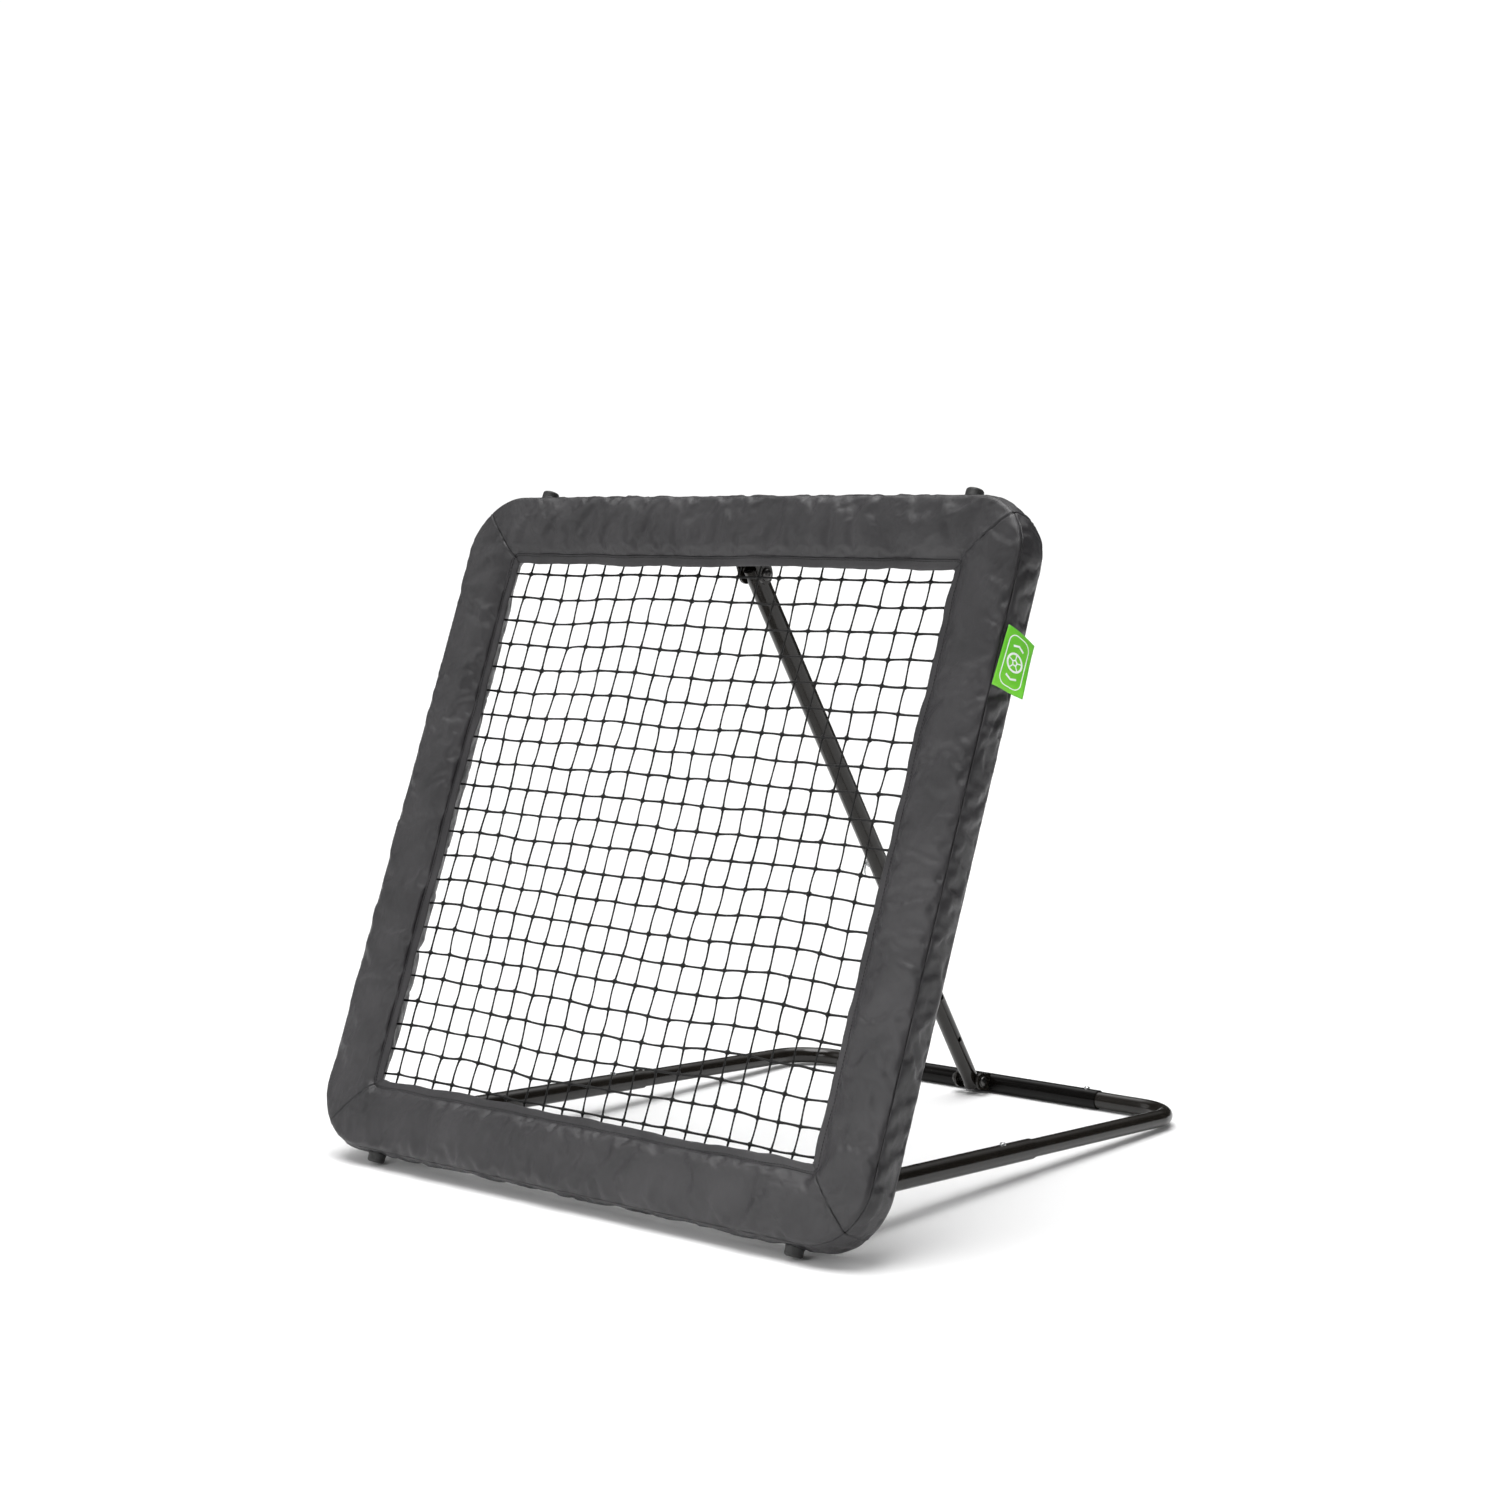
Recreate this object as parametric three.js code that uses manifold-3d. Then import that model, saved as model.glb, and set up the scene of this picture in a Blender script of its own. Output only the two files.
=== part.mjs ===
// A small pitch back rebounder: a padded square panel with a net, leaning back
// on two hinged base arms and a telescopic strut.
// Millimetres, +Z up, +Y towards the rear. The origin is on the ground, below the
// middle of the whole object.

import * as THREE from 'three'
import { mergeVertices } from 'three/addons/utils/BufferGeometryUtils.js'
import Module from 'manifold-3d'

const wasm = await Module()
wasm.setup()

// ---------------------------------------------------------------- dimensions

const GAP = 0.3                     // clearance between pieces that touch
const rad = THREE.MathUtils.degToRad

// panel
const SIDE = 840                    // outer side of the square cover
const DEPTH = 54                    // front face to back face
const BORDER = 88                   // outer edge to the opening
const LIP = 12                      // width of the thin hem round the opening
const LEAN = rad(21.7)              // angle of the panel from upright
const CORNER = 75                   // outer corner radius
const EDGE = 14                     // rounding of the cover's long edges
const CLOTH = 1.2                   // thickness of the cover
const OPENING = SIDE - 2 * BORDER
const INNER_WALL = BORDER - LIP     // outer edge to the cover's inner wall, at the hem
const WALL_BACK = 52                // the same at the back face, because the wall slopes
const WALL_FROM = 16                // depth where the slope starts

// tubes: the large one slides over the small one
const LARGE = { outer: 12.7, inner: 11.5 }
const SMALL = { outer: 11.1, inner: 9.9 }
const SIDES = 20                    // facets of a visible tube
const HIDDEN_SIDES = 12             // facets of a tube inside the panel
const HOLE_SIDES = 12

// panel frame
const TUBE_INSET = 27               // outer edge to the tube's centre line
const TUBE_DEPTH = DEPTH / 2
const FRAME_BEND = 60
const SPIGOT = 120
const CHANNEL = 18                  // half height of the foam's inner channel

// feet: round bumpers that stand out of the top and bottom edges
const FOOT_X = 323
const FOOT_RADIUS = 10.5
const FOOT_OUT = 11

// net
const NET_THICK = 2
const NET_SIDE = OPENING + 44
const ROPE_RADIUS = 3
const LACING_RADIUS = 1.6
const LACING_TURNS = 8
const LACING_DEPTH = 19

// pivots, both in one plane behind the cover
const PIVOT_DEPTH = 73
const HINGE_X = 310
const HINGE_UP = 59.95              // hinge axis above the bottom edge
const STRUT_UP = 765                // strut pivot above the bottom edge
const BOLT_RADIUS = 4
const PIVOT_HOLE = 4.3
const EAR = 3                       // plate thickness of the brackets
const SIDE_PLAY = 0.8               // tube side to bracket ear

// base
const BASE_REACH = 750              // hinge axis to the rear tube's centre
const ARM_LENGTH = 397              // hinge axis to the open end of the sleeve
const ARM_OVERHANG = 10
const ELBOW_START = 290
const ELBOW_BEND = 60
const CROSS_HALF = 185
const CROSS_BUTTON_X = 166
const ELBOW_END_X = 118
const BUTTON_RADIUS = 3.9
const BUTTON_HOLE = 4.2
const ARM_HOLES = [168, 254, 340]   // the button sits in the last one

// strut
const STRUT_REST = { y: 809, z: 20 }
const STRUT_OVERHANG = 10
const UPPER_LENGTH = 487
const LOWER_START = 400
const LOCK_AT = 447
const LOCK_PITCH = 76
const LOCK_HOLES = 5
const LOCK_RADIUS = 3
const LOCK_HOLE = 3.4

// ----------------------------------------------------------------- materials

const paint = { color: 0x15120f, roughness: 0.28, metalness: 0.35 }
const steel = { color: 0xb9bcc0, roughness: 0.35, metalness: 0.9 }
const cloth = { color: 0x3a393b, roughness: 0.55, metalness: 0 }
const foamGrey = { color: 0x8b8d90, roughness: 0.9, metalness: 0 }
const string = { color: 0x141414, roughness: 0.8, metalness: 0 }
const rubber = { color: 0x101010, roughness: 0.7, metalness: 0 }
const plastic = { color: 0x111111, roughness: 0.45, metalness: 0 }
const green = { color: 0x54c02c, roughness: 0.6, metalness: 0 }

// ------------------------------------------------------------- solid helpers

function solid(geometry) {
  const bare = geometry.index ? geometry.toNonIndexed() : geometry.clone()
  bare.deleteAttribute('normal')
  bare.deleteAttribute('uv')
  const merged = mergeVertices(bare, 1e-4)
  return new wasm.Manifold(new wasm.Mesh({
    numProp: 3,
    vertProperties: new Float32Array(merged.attributes.position.array),
    triVerts: new Uint32Array(merged.index.array),
  }))
}

function geometryOf(manifold) {
  const mesh = manifold.getMesh()
  const geometry = new THREE.BufferGeometry()
  geometry.setAttribute('position', new THREE.Float32BufferAttribute(mesh.vertProperties, 3))
  geometry.setIndex(Array.from(mesh.triVerts))
  const flat = geometry.toNonIndexed()
  flat.computeVertexNormals()
  return flat
}

const cut = (body, ...cutters) => cutters.reduce((left, cutter) => left.subtract(cutter), body)
const join = (...bodies) => bodies.reduce((left, right) => left.add(right))

function box(x, y, z, at = [0, 0, 0]) {
  return solid(new THREE.BoxGeometry(x, y, z).translate(...at))
}

// a solid cylinder along X, Y or Z from one coordinate to another
function rod(axis, radius, from, to, at = [0, 0, 0], sides = SIDES) {
  const geometry = new THREE.CylinderGeometry(radius, radius, to - from, sides)
  geometry.translate(0, (from + to) / 2, 0)
  if (axis === 'x') geometry.rotateZ(-Math.PI / 2)
  if (axis === 'z') geometry.rotateX(Math.PI / 2)
  return solid(geometry.translate(...at))
}

function ringShape(outer, inner, sides = SIDES) {
  const circle = (radius) => Array.from({ length: sides }, (_, i) => {
    const angle = (i + 0.5) / sides * 2 * Math.PI
    return new THREE.Vector2(radius * Math.cos(angle), radius * Math.sin(angle))
  })
  const shape = new THREE.Shape(circle(outer))
  if (inner > 0) shape.holes.push(new THREE.Path(circle(inner)))
  return shape
}

// a straight tube along +Z
function straightTube(size, from, to, sides = SIDES) {
  const shape = ringShape(size.outer, size.inner, sides)
  const geometry = new THREE.ExtrudeGeometry(shape, { depth: to - from, bevelEnabled: false })
  return geometry.translate(0, 0, from)
}

// A route of straight runs joined by bends of one radius. Its stations sit only
// where the direction changes, so long straight runs cost no triangles.
class BentRoute extends THREE.Curve {
  constructor(corners, radius, bendSteps) {
    super()
    const points = corners.map((corner) => new THREE.Vector3(...corner))
    const last = points.length - 1
    this.points = [points[0]]
    this.tangents = [points[1].clone().sub(points[0]).normalize()]
    for (let i = 1; i < last; i++) {
      const into = points[i].clone().sub(points[i - 1]).normalize()
      const out = points[i + 1].clone().sub(points[i]).normalize()
      const turn = into.angleTo(out)
      const start = points[i].clone().addScaledVector(into, -radius * Math.tan(turn / 2))
      const side = out.clone().addScaledVector(into, -out.dot(into)).normalize()
      for (let step = 0; step <= bendSteps; step++) {
        const angle = turn * step / bendSteps
        this.points.push(start.clone()
          .addScaledVector(into, radius * Math.sin(angle))
          .addScaledVector(side, radius * (1 - Math.cos(angle))))
        this.tangents.push(into.clone().multiplyScalar(Math.cos(angle))
          .addScaledVector(side, Math.sin(angle)))
      }
    }
    this.points.push(points[last])
    this.tangents.push(points[last].clone().sub(points[last - 1]).normalize())
  }
  get steps() { return this.points.length - 1 }
  getPoint(t) { return this.points[Math.round(t * this.steps)].clone() }
  getPointAt(t) { return this.getPoint(t) }
  getTangent(t) { return this.tangents[Math.round(t * this.steps)].clone() }
  getTangentAt(t) { return this.getTangent(t) }
}

function bentTube(corners, radius, size, bendSteps = 8, sides = SIDES) {
  const route = new BentRoute(corners, radius, bendSteps)
  const shape = ringShape(size.outer, size.inner, sides)
  return new THREE.ExtrudeGeometry(shape, { steps: route.steps, extrudePath: route })
}

// a rounded square in the panel's plane, centred on the panel
function squareShape(side, radius) {
  const half = side / 2
  const shape = new THREE.Shape()
  if (radius === 0) {
    shape.setFromPoints([[-1, -1], [1, -1], [1, 1], [-1, 1]].map(([x, y]) =>
      new THREE.Vector2(x * half, y * half)))
    return shape
  }
  const flat = half - radius
  shape.absarc(flat, flat, radius, 0, Math.PI / 2)
  shape.absarc(-flat, flat, radius, Math.PI / 2, Math.PI)
  shape.absarc(-flat, -flat, radius, Math.PI, 1.5 * Math.PI)
  shape.absarc(flat, -flat, radius, 1.5 * Math.PI, 2 * Math.PI)
  return shape
}

// A square plate or frame lying in the panel: drawn in X and Z, with its
// thickness along Y from one depth to another and its long edges rounded.
function frameSolid(outer, radius, hole, from, to, rounding = 0) {
  const shape = squareShape(outer, radius)
  if (hole > 0) shape.holes.push(squareShape(hole, 0))
  const geometry = new THREE.ExtrudeGeometry(shape, {
    depth: to - from - 2 * rounding,
    curveSegments: 6,
    bevelEnabled: rounding > 0,
    bevelThickness: rounding,
    bevelSize: rounding,
    bevelOffset: -rounding,
    bevelSegments: 3,
  })
  geometry.translate(0, 0, from + rounding)
  geometry.rotateX(Math.PI / 2)
  geometry.scale(1, -1, 1)
  const flipped = flipFaces(geometry)
  return solid(flipped.translate(0, 0, SIDE / 2))
}

function flipFaces(geometry) {
  const flat = geometry.index ? geometry.toNonIndexed() : geometry
  const position = flat.attributes.position
  const hold = new THREE.Vector3()
  const other = new THREE.Vector3()
  for (let i = 0; i < position.count; i += 3) {
    hold.fromBufferAttribute(position, i)
    other.fromBufferAttribute(position, i + 2)
    position.setXYZ(i, other.x, other.y, other.z)
    position.setXYZ(i + 2, hold.x, hold.y, hold.z)
  }
  return flat
}

// --------------------------------------------------------------- scene graph

const rebounder = new THREE.Group()

function node(parent, name, geometry, material) {
  const mesh = new THREE.Mesh(geometry, new THREE.MeshStandardMaterial(material))
  mesh.name = name
  parent.add(mesh)
  return mesh
}

// In the panel group X runs along the panel, Y from the front face to the back
// and Z up the panel from its bottom edge.
const FOOT_LIFT = FOOT_OUT * Math.cos(LEAN) + (TUBE_DEPTH + FOOT_RADIUS) * Math.sin(LEAN)
const panel = new THREE.Group()
panel.position.set(0, 0, FOOT_LIFT)
panel.rotation.x = -LEAN
rebounder.add(panel)

function fromPanel(up, depth) {
  return {
    y: up * Math.sin(LEAN) + depth * Math.cos(LEAN),
    z: FOOT_LIFT + up * Math.cos(LEAN) - depth * Math.sin(LEAN),
  }
}

// In the base group Y runs along the arms from the hinge axis to the rear.
const hinge = fromPanel(HINGE_UP, PIVOT_DEPTH)
const BASE_DROP = Math.asin((hinge.z - LARGE.outer) / BASE_REACH)
const base = new THREE.Group()
base.position.set(0, hinge.y, hinge.z)
base.rotation.x = -BASE_DROP
rebounder.add(base)

// In the strut group Z runs down the strut from its upper pivot.
const strutTop = fromPanel(STRUT_UP, PIVOT_DEPTH)
const strutRun = new THREE.Vector2(STRUT_REST.y - strutTop.y, STRUT_REST.z - strutTop.z)
const STRUT_LENGTH = strutRun.length()
const strut = new THREE.Group()
strut.position.set(0, strutTop.y, strutTop.z)
strut.rotation.x = Math.atan2(-strutRun.x, strutRun.y)
rebounder.add(strut)

// ------------------------------------------------------------------ brackets

// A U-shaped bracket: a web against a tube and two ears out to a pivot. Drawn
// with the tube's centre at the origin and the pivot along +Y.
function clevis(reach, innerHalf, halfWidth) {
  const webFrom = LARGE.outer + GAP
  const profile = new THREE.Shape()
  profile.moveTo(webFrom, -halfWidth)
  profile.lineTo(reach, -halfWidth)
  profile.absarc(reach, 0, halfWidth, -Math.PI / 2, Math.PI / 2)
  profile.lineTo(webFrom, halfWidth)
  const plate = new THREE.ExtrudeGeometry(profile, {
    depth: EAR, bevelEnabled: false, curveSegments: 8,
  })
  // the outline lies in Y and Z, and the plate's thickness along X
  plate.applyMatrix4(new THREE.Matrix4().makeBasis(
    new THREE.Vector3(0, 1, 0), new THREE.Vector3(0, 0, 1), new THREE.Vector3(1, 0, 0)))
  const right = solid(plate.clone().translate(innerHalf, 0, 0))
  const left = solid(plate.clone().translate(-innerHalf - EAR, 0, 0))
  const web = box(2 * innerHalf + 0.5, EAR, 2 * halfWidth, [0, webFrom + EAR / 2, 0])
  const hole = rod('x', PIVOT_HOLE, -40, 40, [0, reach, 0], HOLE_SIDES)
  return cut(join(right, left, web), hole)
}

// places a clevis on a tube so that its ears reach the pivot
function place(mesh, x, tube, pivot) {
  mesh.position.set(x, tube.y, tube.z)
  mesh.rotation.x = Math.atan2(pivot.z - tube.z, pivot.y - tube.y)
}

const reachOf = (tube, pivot) => Math.hypot(pivot.y - tube.y, pivot.z - tube.z)

function hexNut(height) {
  return new THREE.CylinderGeometry(7.2, 7.2, height, 6).rotateZ(Math.PI / 2)
}

// a bolt along X with its domed head on the +X side
function boltGeometry(headAt, shankTo) {
  const head = 4
  const profile = [
    [0, shankTo], [BOLT_RADIUS, shankTo], [BOLT_RADIUS, headAt], [7.5, headAt],
    [7.2, headAt + head * 0.5], [5.2, headAt + head * 0.9], [0, headAt + head],
  ].map(([r, y]) => new THREE.Vector2(r, y))
  return new THREE.LatheGeometry(profile, HOLE_SIDES).rotateZ(-Math.PI / 2)
}

// ------------------------------------------------------------ panel: the frame

const TUBE_LINE = SIDE - 2 * TUBE_INSET

function frameTube(name, sign) {
  const x = TUBE_LINE / 2
  const end = SIDE / 2 + sign * GAP
  const across = SIDE / 2 + sign * TUBE_LINE / 2
  const corners = [[-x, TUBE_DEPTH, end], [-x, TUBE_DEPTH, across],
    [x, TUBE_DEPTH, across], [x, TUBE_DEPTH, end]]
  node(panel, name, bentTube(corners, FRAME_BEND, LARGE, 5, HIDDEN_SIDES), paint)
}

frameTube('frame_tube_bottom', -1)
frameTube('frame_tube_top', 1)

for (const [side, sign] of [['left', -1], ['right', 1]]) {
  const spigot = node(panel, `frame_spigot_${side}`, straightTube(SMALL, -SPIGOT / 2, SPIGOT / 2, HIDDEN_SIDES), paint)
  spigot.position.set(sign * TUBE_LINE / 2, TUBE_DEPTH, SIDE / 2)
}

// --------------------------------------------------- panel: brackets and feet

const bottomTube = { y: TUBE_DEPTH, z: TUBE_INSET }
const topTube = { y: TUBE_DEPTH, z: SIDE - TUBE_INSET }
const hingePivot = { y: PIVOT_DEPTH, z: HINGE_UP }
const strutPivot = { y: PIVOT_DEPTH, z: STRUT_UP }
const EAR_HALF = LARGE.outer + SIDE_PLAY
const EAR_WIDTH = 12

for (const [side, sign] of [['left', -1], ['right', 1]]) {
  const bracket = clevis(reachOf(bottomTube, hingePivot), EAR_HALF, EAR_WIDTH)
  const mesh = node(panel, `hinge_bracket_${side}`, geometryOf(bracket), paint)
  place(mesh, sign * HINGE_X, bottomTube, hingePivot)
}
const topBracket = node(panel, 'strut_bracket_top',
  geometryOf(clevis(reachOf(topTube, strutPivot), EAR_HALF, EAR_WIDTH)), paint)
place(topBracket, 0, topTube, strutPivot)

const footTube = LARGE.outer + GAP
for (const [edge, z, direction] of [['bottom', TUBE_INSET, -1], ['top', SIDE - TUBE_INSET, 1]]) {
  for (const [side, sign] of [['left', -1], ['right', 1]]) {
    const length = TUBE_INSET - footTube + FOOT_OUT
    const profile = [[0, 0], [FOOT_RADIUS, 0], [FOOT_RADIUS, length - 2], [FOOT_RADIUS - 1.5, length],
      [0, length]].map(([r, y]) => new THREE.Vector2(r, y))
    const foot = node(panel, `foot_${edge}_${side}`, new THREE.LatheGeometry(profile, SIDES), rubber)
    foot.position.set(sign * FOOT_X, TUBE_DEPTH, z + direction * footTube)
    foot.rotation.x = direction * Math.PI / 2
  }
}

// ------------------------------------------------ panel: foam and fabric cover

// openings through foam and cover for the brackets and feet: a pocket for each
// bracket's web, and a slot for each of its ears
function bracketPassage(x, tube, pivot) {
  const angle = Math.atan2(pivot.z - tube.z, pivot.y - tube.y)
  const high = 2 * EAR_WIDTH + 8
  const pocket = box(2 * (EAR_HALF + EAR) + 3, EAR + 4, high, [0, LARGE.outer + EAR / 2, 0])
  const ears = [-1, 1].map((side) =>
    box(EAR + 3, 80, high, [side * (EAR_HALF + EAR / 2), LARGE.outer + 40, 0]))
  return join(pocket, ...ears)
    .rotate([THREE.MathUtils.radToDeg(angle), 0, 0]).translate([x, tube.y, tube.z])
}

const passages = [
  bracketPassage(-HINGE_X, bottomTube, hingePivot),
  bracketPassage(HINGE_X, bottomTube, hingePivot),
  bracketPassage(0, topTube, strutPivot),
]
for (const sign of [-1, 1]) {
  const x = sign * FOOT_X
  passages.push(rod('z', FOOT_RADIUS + 0.6, -20, TUBE_INSET, [x, TUBE_DEPTH, 0]))
  passages.push(rod('z', FOOT_RADIUS + 0.6, SIDE - TUBE_INSET, SIDE + 20, [x, TUBE_DEPTH, 0]))
}

// the wedge of the panel that belongs to one side, cut back at the mitres
function wedge(turns) {
  const half = SIDE / 2 + 60
  const shape = new THREE.Shape([
    new THREE.Vector2(0, -GAP), new THREE.Vector2(-half, -half - GAP), new THREE.Vector2(half, -half - GAP),
  ])
  const geometry = new THREE.ExtrudeGeometry(shape, { depth: 200, bevelEnabled: false })
  geometry.rotateX(Math.PI / 2).translate(0, 100, 0).rotateY(turns * Math.PI / 2)
  return solid(geometry.translate(0, 0, SIDE / 2))
}

// A square block that widens towards the back. It slopes the ring's inner wall.
function slopedBlock(wider) {
  const slope = (INNER_WALL - WALL_BACK) / (DEPTH - WALL_FROM)
  const back = DEPTH + 5
  const radius = (depth) => Math.SQRT2 * (SIDE / 2 - INNER_WALL + slope * (depth - WALL_FROM) + wider)
  return solid(new THREE.CylinderGeometry(radius(back), radius(WALL_FROM), back - WALL_FROM, 4)
    .rotateY(Math.PI / 4).translate(0, (back + WALL_FROM) / 2, SIDE / 2))
}

const WALL_CLOTH = 1.5              // the cover's thickness across the sloping wall
const foamGap = CLOTH + GAP
const foamRing = cut(
  frameSolid(SIDE - 2 * foamGap, CORNER - foamGap, SIDE - 2 * (INNER_WALL - foamGap),
    foamGap, DEPTH - foamGap, EDGE - foamGap),
  frameSolid(SIDE - 2 * (TUBE_INSET - LARGE.outer - GAP), FRAME_BEND + LARGE.outer + GAP, 0,
    TUBE_DEPTH - CHANNEL, TUBE_DEPTH + CHANNEL),
  slopedBlock(WALL_CLOTH + GAP),
  ...passages)

const coverRing = cut(
  join(
    frameSolid(SIDE, CORNER, SIDE - 2 * INNER_WALL, 0, DEPTH, EDGE),
    frameSolid(SIDE - 2 * (INNER_WALL - 2), 0, OPENING, EDGE - 2, EDGE)),
  slopedBlock(0),
  cut(
    frameSolid(SIDE - 2 * CLOTH, CORNER - CLOTH, SIDE - 2 * (INNER_WALL - CLOTH),
      CLOTH, DEPTH - CLOTH, EDGE - CLOTH),
    slopedBlock(WALL_CLOTH)),
  frameSolid(SIDE - 2 * (INNER_WALL - 12), 0, SIDE - 2 * (INNER_WALL + 8),
    TUBE_DEPTH - NET_THICK / 2 - 1, TUBE_DEPTH + NET_THICK / 2 + 1),
  ...passages)

const sides = [['bottom', 0], ['left', 1], ['top', 2], ['right', 3]]
for (const [side, turns] of sides) {
  const region = wedge(turns)
  node(panel, `foam_${side}`, geometryOf(foamRing.intersect(region)), foamGrey)
  node(panel, `cover_${side}`, geometryOf(coverRing.intersect(region)), cloth)
}

// the sewn-in tab on the right side
const TAB = { thick: 1.6, depth: 38, height: 67, at: 656 }
node(panel, 'label_tab', new THREE.BoxGeometry(TAB.thick, TAB.depth, TAB.height), green)
  .position.set(SIDE / 2 + GAP + TAB.thick / 2, DEPTH / 2, TAB.at)

// -------------------------------------------------------------- panel: the net

const net = new THREE.BoxGeometry(NET_SIDE, NET_THICK, NET_SIDE)
node(panel, 'net', net, string).position.set(0, TUBE_DEPTH, SIDE / 2)

const ropeLine = NET_SIDE + 2 * (ROPE_RADIUS + GAP)

// a square ring of cord with an eight-sided section
function cordRing(line, radius) {
  const flat = radius * Math.tan(Math.PI / 8)
  const outline = squareShape(line + 2 * radius, 0)
  outline.holes.push(squareShape(line - 2 * radius, 0))
  const geometry = new THREE.ExtrudeGeometry(outline, {
    depth: 2 * flat,
    bevelSegments: 1,
    bevelThickness: radius - flat,
    bevelSize: radius - flat,
    bevelOffset: flat - radius,
  })
  return geometry.translate(0, 0, -flat).rotateX(Math.PI / 2)
}
node(panel, 'net_rope', cordRing(ropeLine, ROPE_RADIUS), string)
  .position.set(0, TUBE_DEPTH, SIDE / 2)

// elastic lacing that zigzags between the rope and the frame tube
const laceOuter = TUBE_LINE / 2 - LARGE.outer - LACING_RADIUS - 1
const laceInner = ropeLine / 2 + ROPE_RADIUS + LACING_RADIUS + 1
const laceHalf = ropeLine / 2 - 40
for (const [side, turns] of sides) {
  const corners = Array.from({ length: 2 * LACING_TURNS + 1 }, (_, i) => [
    -laceHalf + 2 * laceHalf * i / (2 * LACING_TURNS), 0, -(i % 2 ? laceOuter : laceInner),
  ])
  const lacing = node(panel, `lacing_${side}`,
    bentTube(corners, 3, { outer: LACING_RADIUS, inner: 0 }, 1, 6), string)
  lacing.position.set(0, LACING_DEPTH, SIDE / 2)
  lacing.rotation.y = turns * Math.PI / 2
}

// ------------------------------------------------------------------ base: arms

function springButton() {
  const profile = [[0, SMALL.inner - 4.5], [BUTTON_RADIUS, SMALL.inner - 4.5], [BUTTON_RADIUS, LARGE.outer + 1.2],
    [BUTTON_RADIUS * 0.75, LARGE.outer + 2.4], [0, LARGE.outer + 2.9]].map(([r, y]) => new THREE.Vector2(r, y))
  return new THREE.LatheGeometry(profile, HOLE_SIDES).rotateX(Math.PI / 2)
}

const topHole = (at, radius) => rod('z', radius, 0, 30, [0, at, 0], HOLE_SIDES)

for (const [side, sign] of [['left', -1], ['right', 1]]) {
  const x = sign * HINGE_X

  const sleeve = solid(straightTube(LARGE, -ARM_OVERHANG, ARM_LENGTH).rotateX(-Math.PI / 2))
  const arm = cut(sleeve, rod('x', PIVOT_HOLE, -30, 30, [0, 0, 0], HOLE_SIDES),
    ...ARM_HOLES.map((at) => topHole(at, BUTTON_HOLE)))
  node(base, `arm_${side}`, geometryOf(arm), paint).position.x = x

  const plug = join(
    rod('y', LARGE.inner - GAP, -ARM_OVERHANG - 0.5, -ARM_OVERHANG + 4),
    rod('y', LARGE.outer, -ARM_OVERHANG - 2.3, -ARM_OVERHANG - GAP))
  node(base, `arm_cap_${side}`, geometryOf(plug), plastic).position.x = x

  const cornersOf = [[x, ELBOW_START, 0], [x, BASE_REACH, 0], [sign * ELBOW_END_X, BASE_REACH, 0]]
  const button = ARM_HOLES[ARM_HOLES.length - 1]
  const elbow = cut(solid(bentTube(cornersOf, ELBOW_BEND, SMALL, 9)),
    rod('z', BUTTON_HOLE, 0, 30, [x, button, 0], HOLE_SIDES),
    rod('z', BUTTON_HOLE, 0, 30, [sign * CROSS_BUTTON_X, BASE_REACH, 0], HOLE_SIDES))
  node(base, `rear_elbow_${side}`, geometryOf(elbow), paint)

  node(base, `arm_button_${side}`, springButton(), steel).position.set(x, button, 0)
  node(base, `rear_button_${side}`, springButton(), steel)
    .position.set(sign * CROSS_BUTTON_X, BASE_REACH, 0)
}

const crossTube = cut(
  solid(straightTube(LARGE, -CROSS_HALF, CROSS_HALF).rotateY(Math.PI / 2)),
  rod('z', BUTTON_HOLE, 0, 30, [-CROSS_BUTTON_X, 0, 0], HOLE_SIDES),
  rod('z', BUTTON_HOLE, 0, 30, [CROSS_BUTTON_X, 0, 0], HOLE_SIDES))
node(base, 'rear_cross_tube', geometryOf(crossTube), paint).position.y = BASE_REACH

// -------------------------------------------------- base: the strut's bracket

const rearTube = { y: hinge.y + BASE_REACH * Math.cos(BASE_DROP), z: LARGE.outer }
const REAR_EAR_HALF = 16.5
const REAR_EAR_WIDTH = 11.5
const rearBracket = node(rebounder, 'strut_bracket_rear',
  geometryOf(clevis(reachOf(rearTube, STRUT_REST), REAR_EAR_HALF, REAR_EAR_WIDTH)), paint)
place(rearBracket, 0, rearTube, STRUT_REST)

// The strut can lift out of this bracket, so its bolt and nut have short shanks
// that stop beside the tube.
const outerEar = REAR_EAR_HALF + EAR + GAP
const stubEnd = SMALL.outer + SIDE_PLAY - 0.2
node(rebounder, 'strut_bolt_rear', boltGeometry(outerEar, stubEnd), steel)
  .position.set(0, STRUT_REST.y, STRUT_REST.z)
const rearNut = join(
  solid(hexNut(6).translate(-outerEar - 3, 0, 0)),
  rod('x', BOLT_RADIUS, -outerEar - 8, -stubEnd))
node(rebounder, 'strut_nut_rear', geometryOf(rearNut), steel)
  .position.set(0, STRUT_REST.y, STRUT_REST.z)

// --------------------------------------------------------- bolts and lock nuts

function boltAndNut(parent, tag, at, earHalf) {
  const outside = earHalf + EAR + GAP
  const nutHeight = 6
  node(parent, `${tag}_bolt`, boltGeometry(outside, -outside - nutHeight - 2), steel).position.set(...at)
  const nut = cut(solid(hexNut(nutHeight)), rod('x', BOLT_RADIUS + 0.25, -10, 10, [0, 0, 0], HOLE_SIDES))
  node(parent, `${tag}_nut`, geometryOf(nut), steel)
    .position.set(at[0] - outside - nutHeight / 2, at[1], at[2])
}

boltAndNut(panel, 'hinge_left', [-HINGE_X, PIVOT_DEPTH, HINGE_UP], EAR_HALF)
boltAndNut(panel, 'hinge_right', [HINGE_X, PIVOT_DEPTH, HINGE_UP], EAR_HALF)
boltAndNut(panel, 'strut_top', [0, PIVOT_DEPTH, STRUT_UP], EAR_HALF)

// ----------------------------------------------------------------- the strut

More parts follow.
